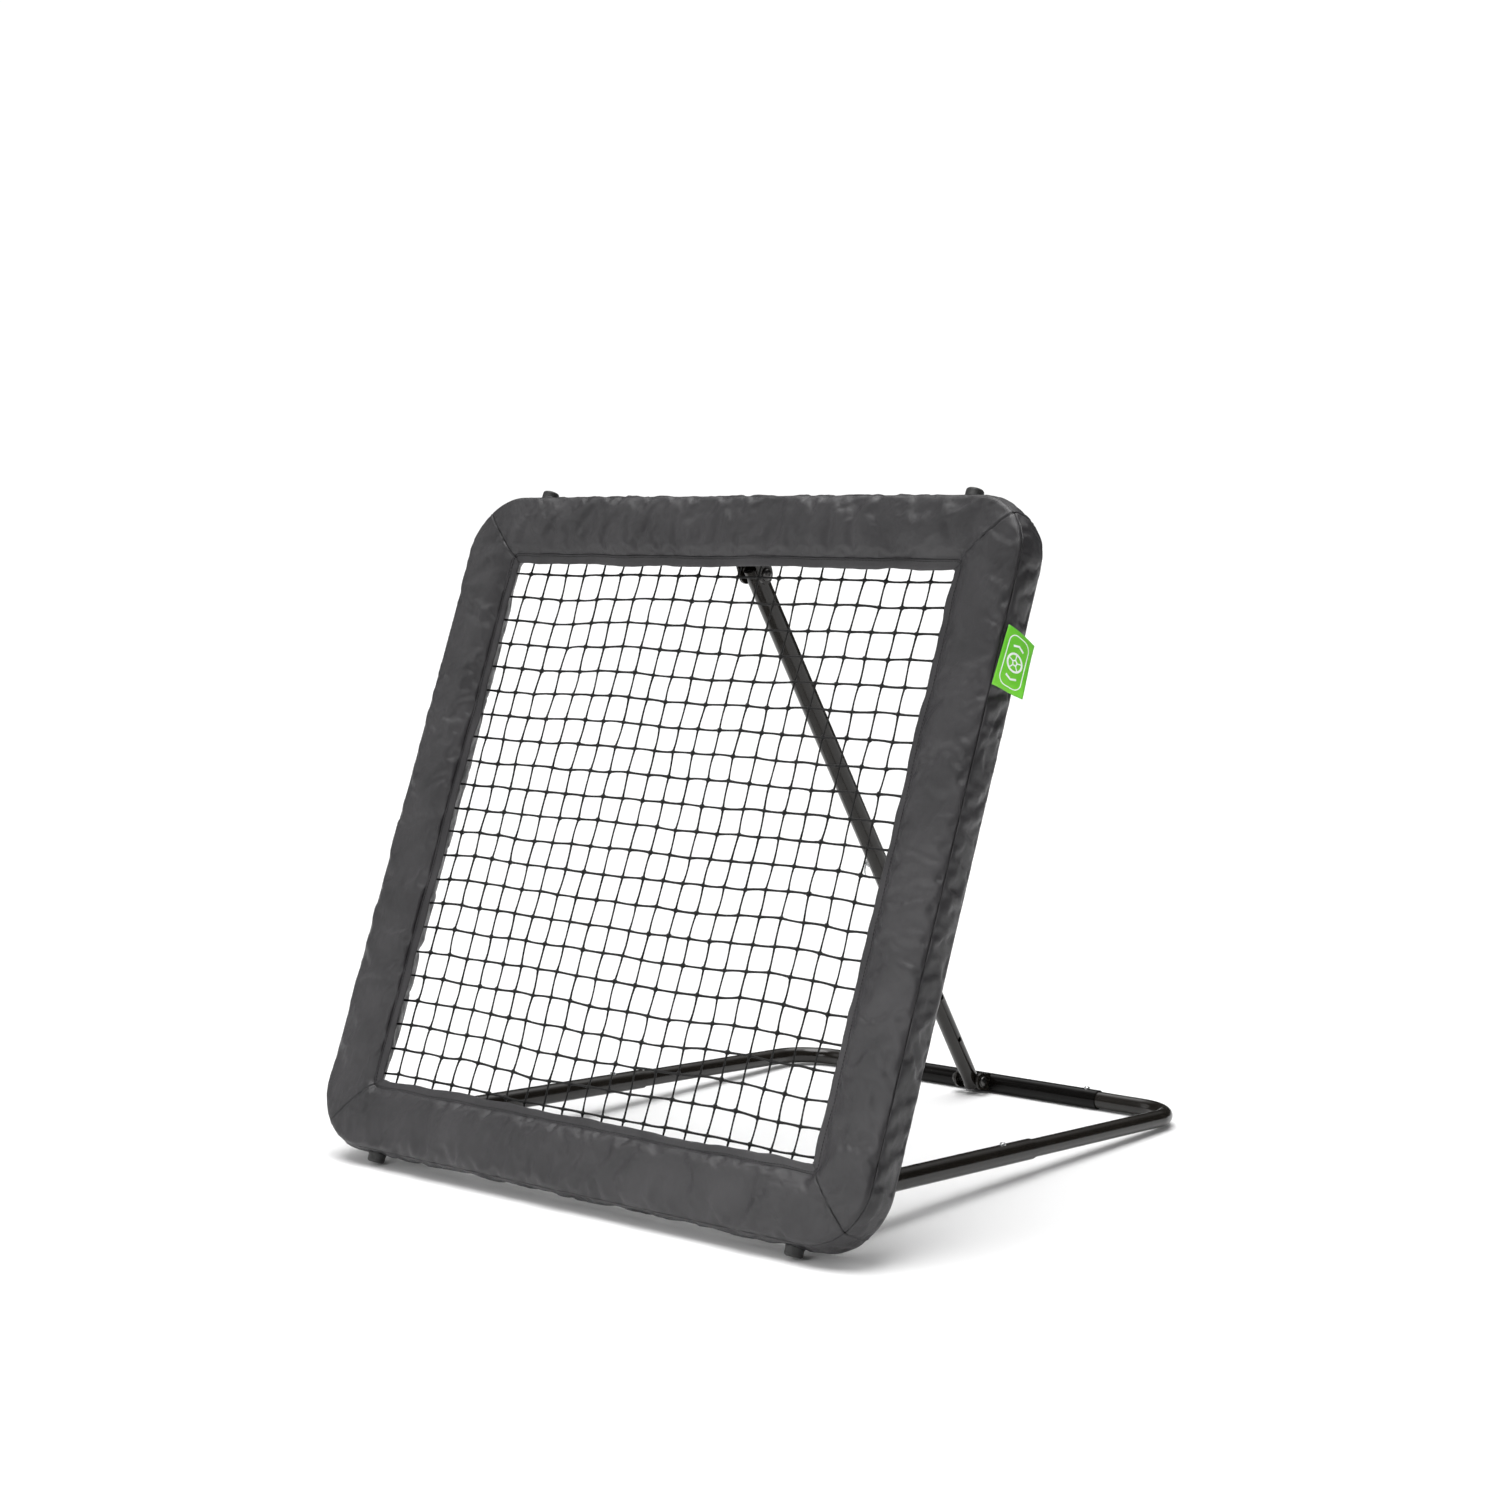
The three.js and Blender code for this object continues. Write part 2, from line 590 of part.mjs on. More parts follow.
const upper = cut(solid(straightTube(LARGE, -STRUT_OVERHANG, UPPER_LENGTH)),
  rod('x', PIVOT_HOLE, -30, 30, [0, 0, 0], HOLE_SIDES),
  rod('x', LOCK_HOLE, -30, 30, [0, 0, LOCK_AT], HOLE_SIDES))
node(strut, 'strut_upper', geometryOf(upper), paint)

const lowerEnd = STRUT_LENGTH + 7
const lockHoles = Array.from({ length: LOCK_HOLES }, (_, i) =>
  rod('x', LOCK_HOLE, -30, 30, [0, 0, LOCK_AT + i * LOCK_PITCH], HOLE_SIDES))
const lower = cut(solid(straightTube(SMALL, LOWER_START, lowerEnd)), ...lockHoles,
  rod('x', PIVOT_HOLE, -30, 30, [0, 0, STRUT_LENGTH], HOLE_SIDES))
node(strut, 'strut_lower', geometryOf(lower), paint)

const capTop = lowerEnd + GAP
const endCap = [[0, lowerEnd - 2], [SMALL.inner - GAP, lowerEnd - 2], [SMALL.inner - GAP, capTop], [SMALL.outer, capTop],
  [SMALL.outer * 0.86, capTop + 2.6], [SMALL.outer * 0.5, capTop + 4.2], [0, capTop + 4.7]]
  .map(([r, y]) => new THREE.Vector2(r, y))
node(strut, 'strut_end_cap', new THREE.LatheGeometry(endCap, SIDES).rotateX(Math.PI / 2), plastic)

// The pin goes in from the left: a collar, then an eye that holds its pull ring.
// Its shank stays in the upper tube's wall, so that the lower tube can slide.
const collar = LARGE.outer + GAP
const eye = collar + 6
const lockPin = cut(
  join(
    rod('x', LOCK_RADIUS, -collar - 9, -SMALL.outer - 0.2, [0, 0, 0], HOLE_SIDES),
    rod('x', 5.5, -collar - 3, -collar, [0, 0, 0], HOLE_SIDES)),
  rod('y', 1.6, -10, 10, [-eye, 0, 0], HOLE_SIDES))
node(strut, 'lock_pin', geometryOf(lockPin), steel).position.z = LOCK_AT

const RING = { radius: 11, wire: 0.9 }
node(strut, 'lock_ring', new THREE.TorusGeometry(RING.radius, RING.wire, 6, 18).rotateY(Math.PI / 2), steel)
  .position.set(-eye, 0, LOCK_AT + RING.radius)

// the origin goes to the ground below the middle of the object
rebounder.updateMatrixWorld(true)
const extent = new THREE.Box3().setFromObject(rebounder, true)
rebounder.position.set(0, -(extent.min.y + extent.max.y) / 2, -extent.min.z)

export default rebounder
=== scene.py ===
"""The looks of the pitch back rebounder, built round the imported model.

Metres, +Z up, +Y towards the rear. Most shapes are laid out in millimetres, in one
of three local frames: the panel's (X along it, Y its depth from the front face, Z up
it), the base's (Y along the arms from the hinge axis) and the strut's (Z down it).
"""

import math
import random

import bmesh
import bpy
import numpy as np
from mathutils import Matrix, Vector, noise


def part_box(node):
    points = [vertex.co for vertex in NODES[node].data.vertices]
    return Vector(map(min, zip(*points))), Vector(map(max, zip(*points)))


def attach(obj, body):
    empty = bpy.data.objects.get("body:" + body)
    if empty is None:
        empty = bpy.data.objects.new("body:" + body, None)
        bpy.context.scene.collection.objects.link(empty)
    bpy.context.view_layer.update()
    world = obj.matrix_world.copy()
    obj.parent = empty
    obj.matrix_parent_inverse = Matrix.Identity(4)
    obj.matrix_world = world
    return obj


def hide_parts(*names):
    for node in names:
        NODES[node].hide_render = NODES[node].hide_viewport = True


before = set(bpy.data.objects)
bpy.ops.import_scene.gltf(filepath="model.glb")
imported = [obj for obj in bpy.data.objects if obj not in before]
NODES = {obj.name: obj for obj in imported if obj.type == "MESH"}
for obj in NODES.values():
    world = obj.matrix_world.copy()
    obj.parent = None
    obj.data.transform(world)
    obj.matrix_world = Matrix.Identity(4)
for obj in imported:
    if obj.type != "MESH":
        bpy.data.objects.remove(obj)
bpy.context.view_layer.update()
MM = 0.001
LEAN = math.radians(21.7)

# ------------------------------------------------------------------ local frames


def node_points(name):
    return np.array([v.co[:] for v in NODES[name].data.vertices])


def centre_of(name):
    low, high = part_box(name)
    return (low + high) / 2


def panel_frame():
    """The panel's frame, read off the cover's own solids."""
    up = Vector((0, math.sin(LEAN), math.cos(LEAN)))
    depth = Vector((0, math.cos(LEAN), -math.sin(LEAN)))
    points = np.concatenate([node_points("cover_bottom"), node_points("cover_top")])
    origin = up * float((points @ np.array(up)).min())
    origin += depth * float((points @ np.array(depth)).min())
    axes = Matrix((Vector((1, 0, 0)), depth, up)).transposed()
    return Matrix.Translation(origin) @ axes.to_4x4()


def frame_along(origin, target, axis):
    """A frame at origin whose Y or Z axis points at target, with X unchanged."""
    along = (target - origin).normalized()
    side = Vector((1, 0, 0))
    if axis == "y":
        columns = (side, along, side.cross(along))
    else:
        columns = (side, along.cross(side), along)
    return Matrix.Translation(origin) @ Matrix(columns).transposed().to_4x4()


hinge_at = centre_of("hinge_left_bolt")
hinge_at.x = 0
strut_top_at = centre_of("strut_top_bolt")
strut_top_at.x = 0
strut_foot_at = centre_of("strut_bolt_rear")
strut_foot_at.x = 0
rear_tube_at = centre_of("rear_cross_tube")
rear_tube_at.x = 0

PANEL = panel_frame()
BASE = frame_along(hinge_at, rear_tube_at, "y")
STRUT = frame_along(strut_top_at, strut_foot_at, "z")

# --------------------------------------------------------------------- materials


def feed(tree, socket, value):
    """Links a socket to another one, or sets its value."""
    if isinstance(value, bpy.types.NodeSocket):
        tree.links.new(value, socket)
    else:
        socket.default_value = value


class Surface:
    """A Principled material, with short ways to add nodes to it."""

    def __init__(self, name, color, roughness, **sockets):
        self.material = bpy.data.materials.new(name)
        self.material.use_nodes = True
        self.tree = self.material.node_tree
        self.shader = self.tree.nodes["Principled BSDF"]
        self.set("Base Color", (*color, 1))
        self.set("Roughness", roughness)
        for key, value in sockets.items():
            self.set(key.replace("_", " "), value)
        self.coords = self.tree.nodes.new("ShaderNodeTexCoord")

    def set(self, name, value):
        feed(self.tree, self.shader.inputs[name], value)

    def node(self, kind, inputs, out=0, **settings):
        made = self.tree.nodes.new(kind)
        for key, value in settings.items():
            setattr(made, key, value)
        for key, value in inputs.items():
            feed(self.tree, made.inputs[key], value)
        return made.outputs[out]

    def noise(self, scale, detail=3.0, rough=0.5):
        return self.node(
            "ShaderNodeTexNoise",
            {"Vector": self.coords.outputs["Object"], "Scale": scale, "Detail": detail,
             "Roughness": rough},
        )

    def ramp(self, value, low, high, to_low, to_high):
        return self.node(
            "ShaderNodeMapRange",
            {"Value": value, "From Min": low, "From Max": high, "To Min": to_low,
             "To Max": to_high},
        )

    def blend(self, factor, a, b):
        made = self.tree.nodes.new("ShaderNodeMix")
        made.data_type = "RGBA"
        feed(self.tree, made.inputs[0], factor)
        for socket, value in ((made.inputs[6], a), (made.inputs[7], b)):
            feed(self.tree, socket, (*value, 1) if isinstance(value, tuple) else value)
        return made.outputs[2]

    def math(self, operation, a, b=0.0):
        made = self.tree.nodes.new("ShaderNodeMath")
        made.operation = operation
        for socket, value in zip(made.inputs, (a, b)):
            feed(self.tree, socket, value)
        return made.outputs[0]

    def bumps(self, *layers):
        """Each layer is (height, distance in metres). The last one feeds the shader."""
        normal = None
        for height, distance in layers:
            inputs = {"Height": height, "Distance": distance, "Strength": 1.0}
            if normal is not None:
                inputs["Normal"] = normal
            normal = self.node("ShaderNodeBump", inputs)
        self.set("Normal", normal)

    def wave(self, scale, axis, space="UV", distort=0.0):
        return self.node(
            "ShaderNodeTexWave",
            {"Vector": self.coords.outputs[space], "Scale": scale, "Distortion": distort},
            out=1,
            bands_direction=axis,
        )


def fabric_material():
    """Dark satin nylon: a fine plain weave with a soft sheen and faint blotches."""
    s = Surface("cover_nylon", (0.03, 0.03, 0.03), 0.38, Sheen_Weight=0.03,
                Sheen_Roughness=0.35, Specular_IOR_Level=0.5)
    s.set("Sheen Tint", (0.85, 0.83, 0.9, 1))
    cloud = s.noise(14, 4)
    fine = s.noise(1400, 2)
    warm = s.blend(s.ramp(cloud, 0.35, 0.7, 0, 1), (0.018, 0.0171, 0.0187), (0.035, 0.0332, 0.0356))
    s.set("Base Color", s.blend(s.ramp(fine, 0.3, 0.7, 0.0, 0.25), warm, (0.014, 0.014, 0.015)))
    s.set("Roughness", s.ramp(s.noise(35, 3), 0.3, 0.7, 0.33, 0.44))
    warp, weft = s.wave(620, "X"), s.wave(620, "Y")
    weave = s.math("MULTIPLY", warp, weft)
    s.bumps((s.noise(70, 2, rough=0.5), 0.0008), (weave, 0.00007))
    return s.material


def lining_material():
    s = Surface("cover_binding", (0.02, 0.02, 0.021), 0.6, Sheen_Weight=0.2)
    s.set("Base Color", s.blend(s.noise(300, 2), (0.014, 0.014, 0.015), (0.03, 0.03, 0.031)))
    s.bumps((s.noise(900, 2), 0.0002))
    return s.material


def thread_material(name, color, twist):
    """Twisted thread or twine: strands that run round it, and loose fibres."""
    s = Surface(name, color, 0.6, Sheen_Weight=0.03, Specular_IOR_Level=0.25)
    strands = s.wave(twist, "DIAGONAL", "Object", 1.5)
    light = tuple(c * 1.9 for c in color)
    s.set("Base Color", s.blend(s.ramp(strands, 0.2, 1.0, 0.0, 1.0), color, light))
    s.set("Roughness", s.ramp(s.noise(600, 2), 0.3, 0.7, 0.45, 0.7))
    s.bumps((strands, 0.00025), (s.noise(2500, 2), 0.00008))
    return s.material


def paint_material(name, shine, coat, tint):
    """Glossy black powder coat: slight orange peel, faint dust and wear."""
    s = Surface(name, tint, 0.2, Coat_Weight=coat, Coat_Roughness=0.07, Specular_IOR_Level=shine)
    dust = s.ramp(s.noise(22, 5, rough=0.65), 0.5, 0.75, 0, 0.35)
    s.set("Base Color", s.blend(dust, tint, tuple(c * 2.2 for c in tint)))
    s.set("Roughness", s.ramp(s.noise(60, 4), 0.3, 0.75, 0.14, 0.26))
    s.bumps((s.noise(420, 2), 0.00005))
    return s.material


def metal_material(name, color, roughness):
    """Plated steel, with fine turning marks and slight stains."""
    s = Surface(name, color, roughness, Metallic=1.0)
    stain = s.ramp(s.noise(260, 4), 0.35, 0.7, 0, 1)
    s.set("Base Color", s.blend(stain, color, tuple(c * 0.6 for c in color)))
    s.set("Roughness", s.ramp(s.noise(700, 3), 0.3, 0.7, roughness * 0.8, roughness * 1.5))
    s.bumps((s.noise(1600, 2), 0.00003))
    return s.material


def moulded_material(name, color, roughness, grain, depth):
    """Moulded rubber or plastic, with a fine grain."""
    s = Surface(name, color, roughness)
    light = tuple(c * 1.8 + 0.004 for c in color)
    s.set("Base Color", s.blend(s.noise(grain / 4, 3), color, light))
    s.set("Roughness", s.ramp(s.noise(grain / 6, 3), 0.3, 0.7, roughness * 0.85, roughness * 1.2))
    s.bumps((s.noise(grain, 2), depth))
    return s.material


def foam_material():
    s = Surface("pad_foam", (0.35, 0.36, 0.37), 0.9)
    cells = s.node("ShaderNodeTexVoronoi", {"Vector": s.coords.outputs["Object"], "Scale": 700.0})
    s.set("Base Color", s.blend(cells, (0.22, 0.23, 0.24), (0.42, 0.43, 0.44)))
    s.bumps((cells, 0.0004))
    return s.material


def label_material():
    """Bright green woven label with a painted highlight: soft noise patches make it a little
    lighter, standing in for where it bends to the light.
    """
    s = Surface("green_label", (0.10, 0.56, 0.03), 0.5, Sheen_Weight=0.1)
    painted_highlight = s.ramp(s.noise(30, 2), 0.3, 0.7, 0.0, 1.0)
    s.set("Base Color", s.blend(painted_highlight, (0.10, 0.50, 0.012), (0.17, 0.60, 0.03)))
    s.bumps((s.math("MULTIPLY", s.wave(900, "X"), s.wave(900, "Y")), 0.00006))
    return s.material


def print_material():
    s = Surface("label_ink", (0.85, 0.87, 0.85), 0.55)
    s.set("Base Color", s.blend(s.noise(800, 2), (0.74, 0.80, 0.72), (0.93, 0.95, 0.93)))
    s.bumps((s.noise(1500, 2), 0.00004))
    return s.material


def floor_material():
    s = Surface("studio_floor", (0.92, 0.92, 0.92), 0.6, Specular_IOR_Level=0.2)
    s.set("Base Color", s.blend(s.noise(3, 2), (0.915, 0.915, 0.915), (0.925, 0.925, 0.925)))
    return s.material


FABRIC = fabric_material()
BINDING = lining_material()
THREAD = thread_material("sewing_thread", (0.006, 0.006, 0.0065), 900)
TWINE = thread_material("net_twine", (0.004, 0.004, 0.004), 420)
ROPE = thread_material("edge_rope", (0.006, 0.006, 0.006), 260)
ELASTIC = thread_material("elastic_cord", (0.010, 0.010, 0.011), 500)
PAINT = paint_material("black_powder_coat", 0.36, 0.12, (0.010, 0.0085, 0.0068))
# Painted shade: a darker, less glossy copy of the same black powder coat, so that the rear cross
# tube and the rear weld beads come out nearly black
SHADED_PAINT = paint_material("painted_shade_black_powder_coat", 0.12, 0.04, (0.003, 0.0027, 0.0024))
ZINC = metal_material("zinc_plate", (0.62, 0.63, 0.64), 0.24)
DARK_ZINC = metal_material("black_zinc", (0.10, 0.097, 0.095), 0.3)
RUBBER = moulded_material("foot_rubber", (0.012, 0.012, 0.012), 0.55, 900, 0.0001)
PLASTIC = moulded_material("end_cap_plastic", (0.014, 0.014, 0.014), 0.35, 1200, 0.00004)
FOAM = foam_material()
LABEL = label_material()
INK = print_material()

# --------------------------------------------------------------- mesh helpers


def add_piece(name, vertices, faces, material, matrix, body, uvs=None):
    """A mesh piece made in millimetres in a local frame, riding on a body."""
    mesh = bpy.data.meshes.new(name)
    mesh.from_pydata((np.asarray(vertices, float) * MM).tolist(), [], faces)
    mesh.update()
    mesh.shade_smooth()
    if uvs is not None:
        layer = mesh.uv_layers.new(name="weave")
        layer.data.foreach_set("uv", np.asarray(uvs, np.float32).ravel())
    mesh.materials.append(material)
    piece = bpy.data.objects.new(name, mesh)
    bpy.context.scene.collection.objects.link(piece)
    piece.matrix_world = matrix
    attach(piece, body)
    return piece


def merge(parts):
    """Joins (vertices, faces) pairs into one."""
    vertices, faces, start = [], [], 0
    for points, polygons in parts:
        vertices.append(np.asarray(points, float).reshape(-1, 3))
        faces += [tuple(i + start for i in face) for face in polygons]
        start += len(vertices[-1])
    return np.concatenate(vertices), faces


def grid_faces(rows, columns, wrap_rows=False, wrap_columns=True, flip=False):
    faces = []
    for i in range(rows if wrap_rows else rows - 1):
        for j in range(columns if wrap_columns else columns - 1):
            a, b = i * columns, (i + 1) % rows * columns
            k = (j + 1) % columns
            face = (a + j, a + k, b + k, b + j)
            faces.append(face[::-1] if flip else face)
    return faces


def end_caps(rings, sides):
    """The two faces that close a stack of rings."""
    last = (rings - 1) * sides
    return [tuple(range(sides))[::-1], tuple(last + i for i in range(sides))]


def ring_frames(path, closed=False):
    """Two side vectors at each point of a path, with little twist."""
    path = np.asarray(path, float)
    if closed:
        tangents = np.roll(path, -1, 0) - np.roll(path, 1, 0)
    else:
        tangents = np.gradient(path, axis=0)
    tangents /= np.linalg.norm(tangents, axis=1)[:, None]
    guess = np.array([0, 0, 1.0]) if abs(tangents[0][2]) < 0.8 else np.array([1.0, 0, 0])
    sides = []
    for tangent in tangents:
        guess = guess - tangent * (guess @ tangent)
        guess = guess / np.linalg.norm(guess)
        sides.append(guess)
    sides = np.array(sides)
    return sides, np.cross(tangents, sides)


def tube(path, radii, sides=8, closed=False):
    """A solid cord along a path."""
    path = np.asarray(path, float)
    count = len(path)
    radii = np.broadcast_to(np.asarray(radii, float), (count,))
    first, second = ring_frames(path, closed)
    angles = np.arange(sides) / sides * 2 * math.pi
    rings = (
        path[:, None]
        + radii[:, None, None]
        * (np.cos(angles)[None, :, None] * first[:, None]
           + np.sin(angles)[None, :, None] * second[:, None])
    )
    faces = grid_faces(count, sides, wrap_rows=closed)
    if not closed:
        faces += end_caps(count, sides)
    return rings.reshape(-1, 3), faces


class Route:
    """Straight runs joined by bends of one radius, measured by length from the start."""

    def __init__(self, corners, bend=0.0):
        corners = [np.array(c, float) for c in corners]
        self.pieces = []  # (length, function from distance to point and tangent)
        at = corners[0]
        for i in range(1, len(corners) - 1):
            into = (corners[i] - corners[i - 1]) / np.linalg.norm(corners[i] - corners[i - 1])
            out = (corners[i + 1] - corners[i]) / np.linalg.norm(corners[i + 1] - corners[i])
            turn = math.acos(np.clip(into @ out, -1, 1))
            start = corners[i] - into * bend * math.tan(turn / 2)
            self.straight(at, start)
            side = (out - into * (out @ into)) / np.linalg.norm(out - into * (out @ into))
            self.pieces.append((turn * bend, self.arc(start, into, side, bend)))
            at = corners[i] + out * bend * math.tan(turn / 2)
        self.straight(at, corners[-1])
        self.length = sum(length for length, _ in self.pieces)

    def straight(self, a, b):
        length = float(np.linalg.norm(b - a))
        way = (b - a) / length
        self.pieces.append((length, lambda s: (a + way * s, way)))

    @staticmethod
    def arc(start, into, side, bend):
        def at(s):
            angle = s / bend
            point = start + bend * (into * math.sin(angle) + side * (1 - math.cos(angle)))
            return point, into * math.cos(angle) + side * math.sin(angle)

        return at

    def at(self, s):
        for index, (length, function) in enumerate(self.pieces):
            if s <= length or index == len(self.pieces) - 1:
                return function(s)
            s -= length


def ring_round(point, tangent, up, radius, angles):
    """Points about a tangent, at angles measured from up."""
    first = up - tangent * (up @ tangent)
    first /= np.linalg.norm(first)
    second = np.cross(tangent, first)
    return point + radius * (np.outer(np.cos(angles), first) + np.outer(np.sin(angles), second))


def spun(route, profile, sides, up=(0, 0, 1), wrap=True):
    """Turns a profile of (distance, radius) about a route. A profile that wraps
    makes a tube with a wall; one that doesn't starts and ends on the axis."""
    up = np.array(up, float)
    angles = np.arange(sides) / sides * 2 * math.pi
    rings = []
    for distance, radius in profile:
        inside = min(max(distance, 0.0), route.length)
        point, tangent = route.at(inside)
        point = point + tangent * (distance - inside)
        rings.append(ring_round(point, tangent, up, radius, angles))
    return np.concatenate(rings), grid_faces(len(profile), sides, wrap_rows=wrap)


def lathe(axis_route, profile, sides=40, up=(0, 0, 1)):
    """A closed solid of revolution; its ends are fans on the axis."""
    vertices, faces = spun(axis_route, profile, sides, up, wrap=False)
    return vertices, faces + end_caps(len(profile), sides)


def hexagon(axis_route, levels, across):
    """A hexagon's solid. levels holds (distance, share of the corner radius kept)."""
    sides = 48
    up = np.array((0, 0, 1), float)
    corner = across / math.sqrt(3)
    angles = np.arange(sides) / sides * 2 * math.pi
    from_flat = (angles + math.pi / 6) % (math.pi / 3) - math.pi / 6
    shape = across / 2 / np.cos(from_flat)
    rings = []
    for distance, share in levels:
        point, tangent = axis_route.at(0)
        radius = np.minimum(shape, corner * share)[:, None]
        rings.append(ring_round(point + tangent * distance, tangent, up, radius, angles))
    faces = grid_faces(len(levels), sides) + end_caps(len(levels), sides)
    return np.concatenate(rings), faces


def face_outwards(piece):
    made = bmesh.new()
    made.from_mesh(piece.data)
    bmesh.ops.recalc_face_normals(made, faces=made.faces)
    made.to_mesh(piece.data)
    made.free()


def crease(piece, degrees=35):
    piece.data.set_sharp_from_angle(angle=math.radians(degrees))


def solid_piece(name, parts, material, matrix, body, sharp=35):
    vertices, faces = merge(parts)
    piece = add_piece(name, vertices, faces, material, matrix, body)
    face_outwards(piece)
    crease(piece, sharp)
    return piece


def cut_holes(piece, cutters):
    """Cuts (vertices, faces) solids out of a piece, in the piece's own frame."""
    vertices, faces = merge(cutters)
    mesh = bpy.data.meshes.new("cutter")
    mesh.from_pydata((vertices * MM).tolist(), [], faces)
    cutter = bpy.data.objects.new("cutter", mesh)
    bpy.context.scene.collection.objects.link(cutter)
    cutter.matrix_world = piece.matrix_world
    face_outwards(cutter)
    boolean = piece.modifiers.new("holes", "BOOLEAN")
    boolean.operation, boolean.solver, boolean.object = "DIFFERENCE", "EXACT", cutter
    bpy.context.view_layer.update()
    graph = bpy.context.evaluated_depsgraph_get()
    made = bpy.data.meshes.new_from_object(piece.evaluated_get(graph))
    piece.modifiers.clear()
    old = piece.data
    piece.data = made
    made.name = old.name
    bpy.data.meshes.remove(old)
    bpy.data.objects.remove(cutter)
    bpy.data.meshes.remove(mesh)


WALL_SLACK = 0.4  # how far from a wall's radius a face still counts as that wall


def round_normals(piece, route, radii):
    """Gives the faces of a tube's walls the exact normals of a round tube, so that
    the cut holes leave no marks in its shine."""
    mesh = piece.data
    crease(piece, 35)
    steps = np.linspace(0, route.length, max(2, int(route.length / 2)))
    samples = [route.at(s) for s in steps]
    centres = np.array([p for p, _ in samples]) * MM
    ways = np.array([t for _, t in samples])
    normals = np.array([n.vector[:] for n in mesh.corner_normals])
    points = np.array([v.co[:] for v in mesh.vertices])
    loops = np.zeros(len(mesh.loops), int)
    mesh.loops.foreach_get("vertex_index", loops)
    for polygon in mesh.polygons:
        centre = np.array(polygon.center[:])
        near = int(((centres - centre) ** 2).sum(1).argmin())
        out = centre - centres[near]
        out -= ways[near] * (out @ ways[near])
        size = np.linalg.norm(out)
        facing = out @ np.array(polygon.normal[:]) / max(size, 1e-9)
        if abs(facing) < 0.9 or min(abs(size / MM - r) for r in radii) > WALL_SLACK:
            continue
        for loop in polygon.loop_indices:
            point = points[loops[loop]]
            near = int(((centres - point) ** 2).sum(1).argmin())
            out = point - centres[near]
            out -= ways[near] * (out @ ways[near])
            normals[loop] = out / max(np.linalg.norm(out), 1e-9) * math.copysign(1, facing)
    mesh.normals_split_custom_set(normals.tolist())


def bevelled(name, material, width, sharp):
    """A CAD node kept as it is, with a better finish and softened edges."""
    node = NODES[name]
    node.data.materials.clear()
    node.data.materials.append(material)
    soften = node.modifiers.new("soft_edges", "BEVEL")
    soften.width, soften.segments = width * MM, 2
    soften.limit_method, soften.angle_limit = "ANGLE", math.radians(sharp)
    soften.harden_normals = True
    node.data.shade_smooth()


def replace(piece, slot, *nodes):
    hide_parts(*nodes)


# ------------------------------------------------------------------ dimensions
# All in millimetres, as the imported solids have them.

SIDE, BORDER = 840.0, 88.0
HALF = SIDE / 2
CORNER = 75.0
TUBE_INSET, TUBE_DEPTH = 27.0, 27.0
LARGE, LARGE_INNER, SMALL, SMALL_INNER = 12.7, 11.5, 11.1, 9.9
HINGE_X, EAR_HALF, EAR = 310.0, 13.5, 3.0
REAR_EAR_HALF, REAR_EAR_WIDTH, STUB_END = 16.5, 11.5, 11.9
PIVOT_DEPTH, HINGE_UP, STRUT_UP = 73.0, 59.95, 765.0
FOOT_X, FOOT_RADIUS, FOOT_OUT = 323.0, 10.5, 11.0
BASE_REACH, ARM_END, ARM_START = 750.0, 397.0, -10.0
ARM_HOLES, BUTTON_AT = (168.0, 254.0), 340.0
ELBOW_START, ELBOW_BEND, ELBOW_END_X = 290.0, 60.0, 118.0
CROSS_HALF, CROSS_BUTTON_X = 185.0, 166.0
LOCK_AT, LOCK_PITCH, LOCK_HOLES = 447.0, 76.0, 5
STRUT_LENGTH = (strut_foot_at - strut_top_at).length / MM

# ------------------------------------------------------------- the padded cover
# One grid round the whole pad. Rows follow the pad's section, from the slit that
# lets the net out, over the hem, the front, the side and the back, to the slit's
# other edge. Columns go round the four mitred sides.

COLUMNS_A_SIDE = 124
ROW_STEP = 5.6
CLOTH_FRAMES = 22
SEAM_CORDS = (("edge", 1.3), ("hem", 0.75), ("back", 0.9))
# the slots for the brackets' ears: half their width, how near a column must be, how
# far from the tube's middle they start, and half their length
SLOT_HALF, SLOT_NEAR, SLOT_FROM, SLOT_LONG = 3.0, 12, 20, 15.5
BOTTOM, RIGHT_SIDE, TOP, LEFT_SIDE = range(4)

# (distance in from the outer edge, depth, kind); the kind names a seam
SECTION = [
    (71.6, 23.0, "slit"),
    (76.4, 16.2, "root"),
    (82.5, 14.6, ""),
    (87.6, 13.7, ""),
    (88.4, 12.6, "tip"),
    (87.6, 11.5, ""),
    (82.0, 10.6, ""),
    (77.0, 9.6, "hem"),
    (74.0, 6.6, ""),
    (67.0, 3.0, ""),
    (56.0, 0.9, ""),
    (42.0, 0.2, ""),
    (27.0, 0.6, ""),
    (14.0, 2.0, ""),
    (7.0, 4.4, ""),
    (3.4, 7.6, "edge"),
    (1.4, 11.0, ""),
    (0.2, 19.0, ""),
    (0.0, 28.0, ""),
    (0.4, 39.0, ""),
    (2.6, 47.5, "back"),
    (7.0, 51.8, ""),
    (16.0, 53.6, ""),
    (30.0, 54.0, ""),
    (44.0, 53.8, ""),
    (52.0, 52.0, ""),
    (58.0, 44.6, ""),
    (64.5, 33.8, "slit"),
]


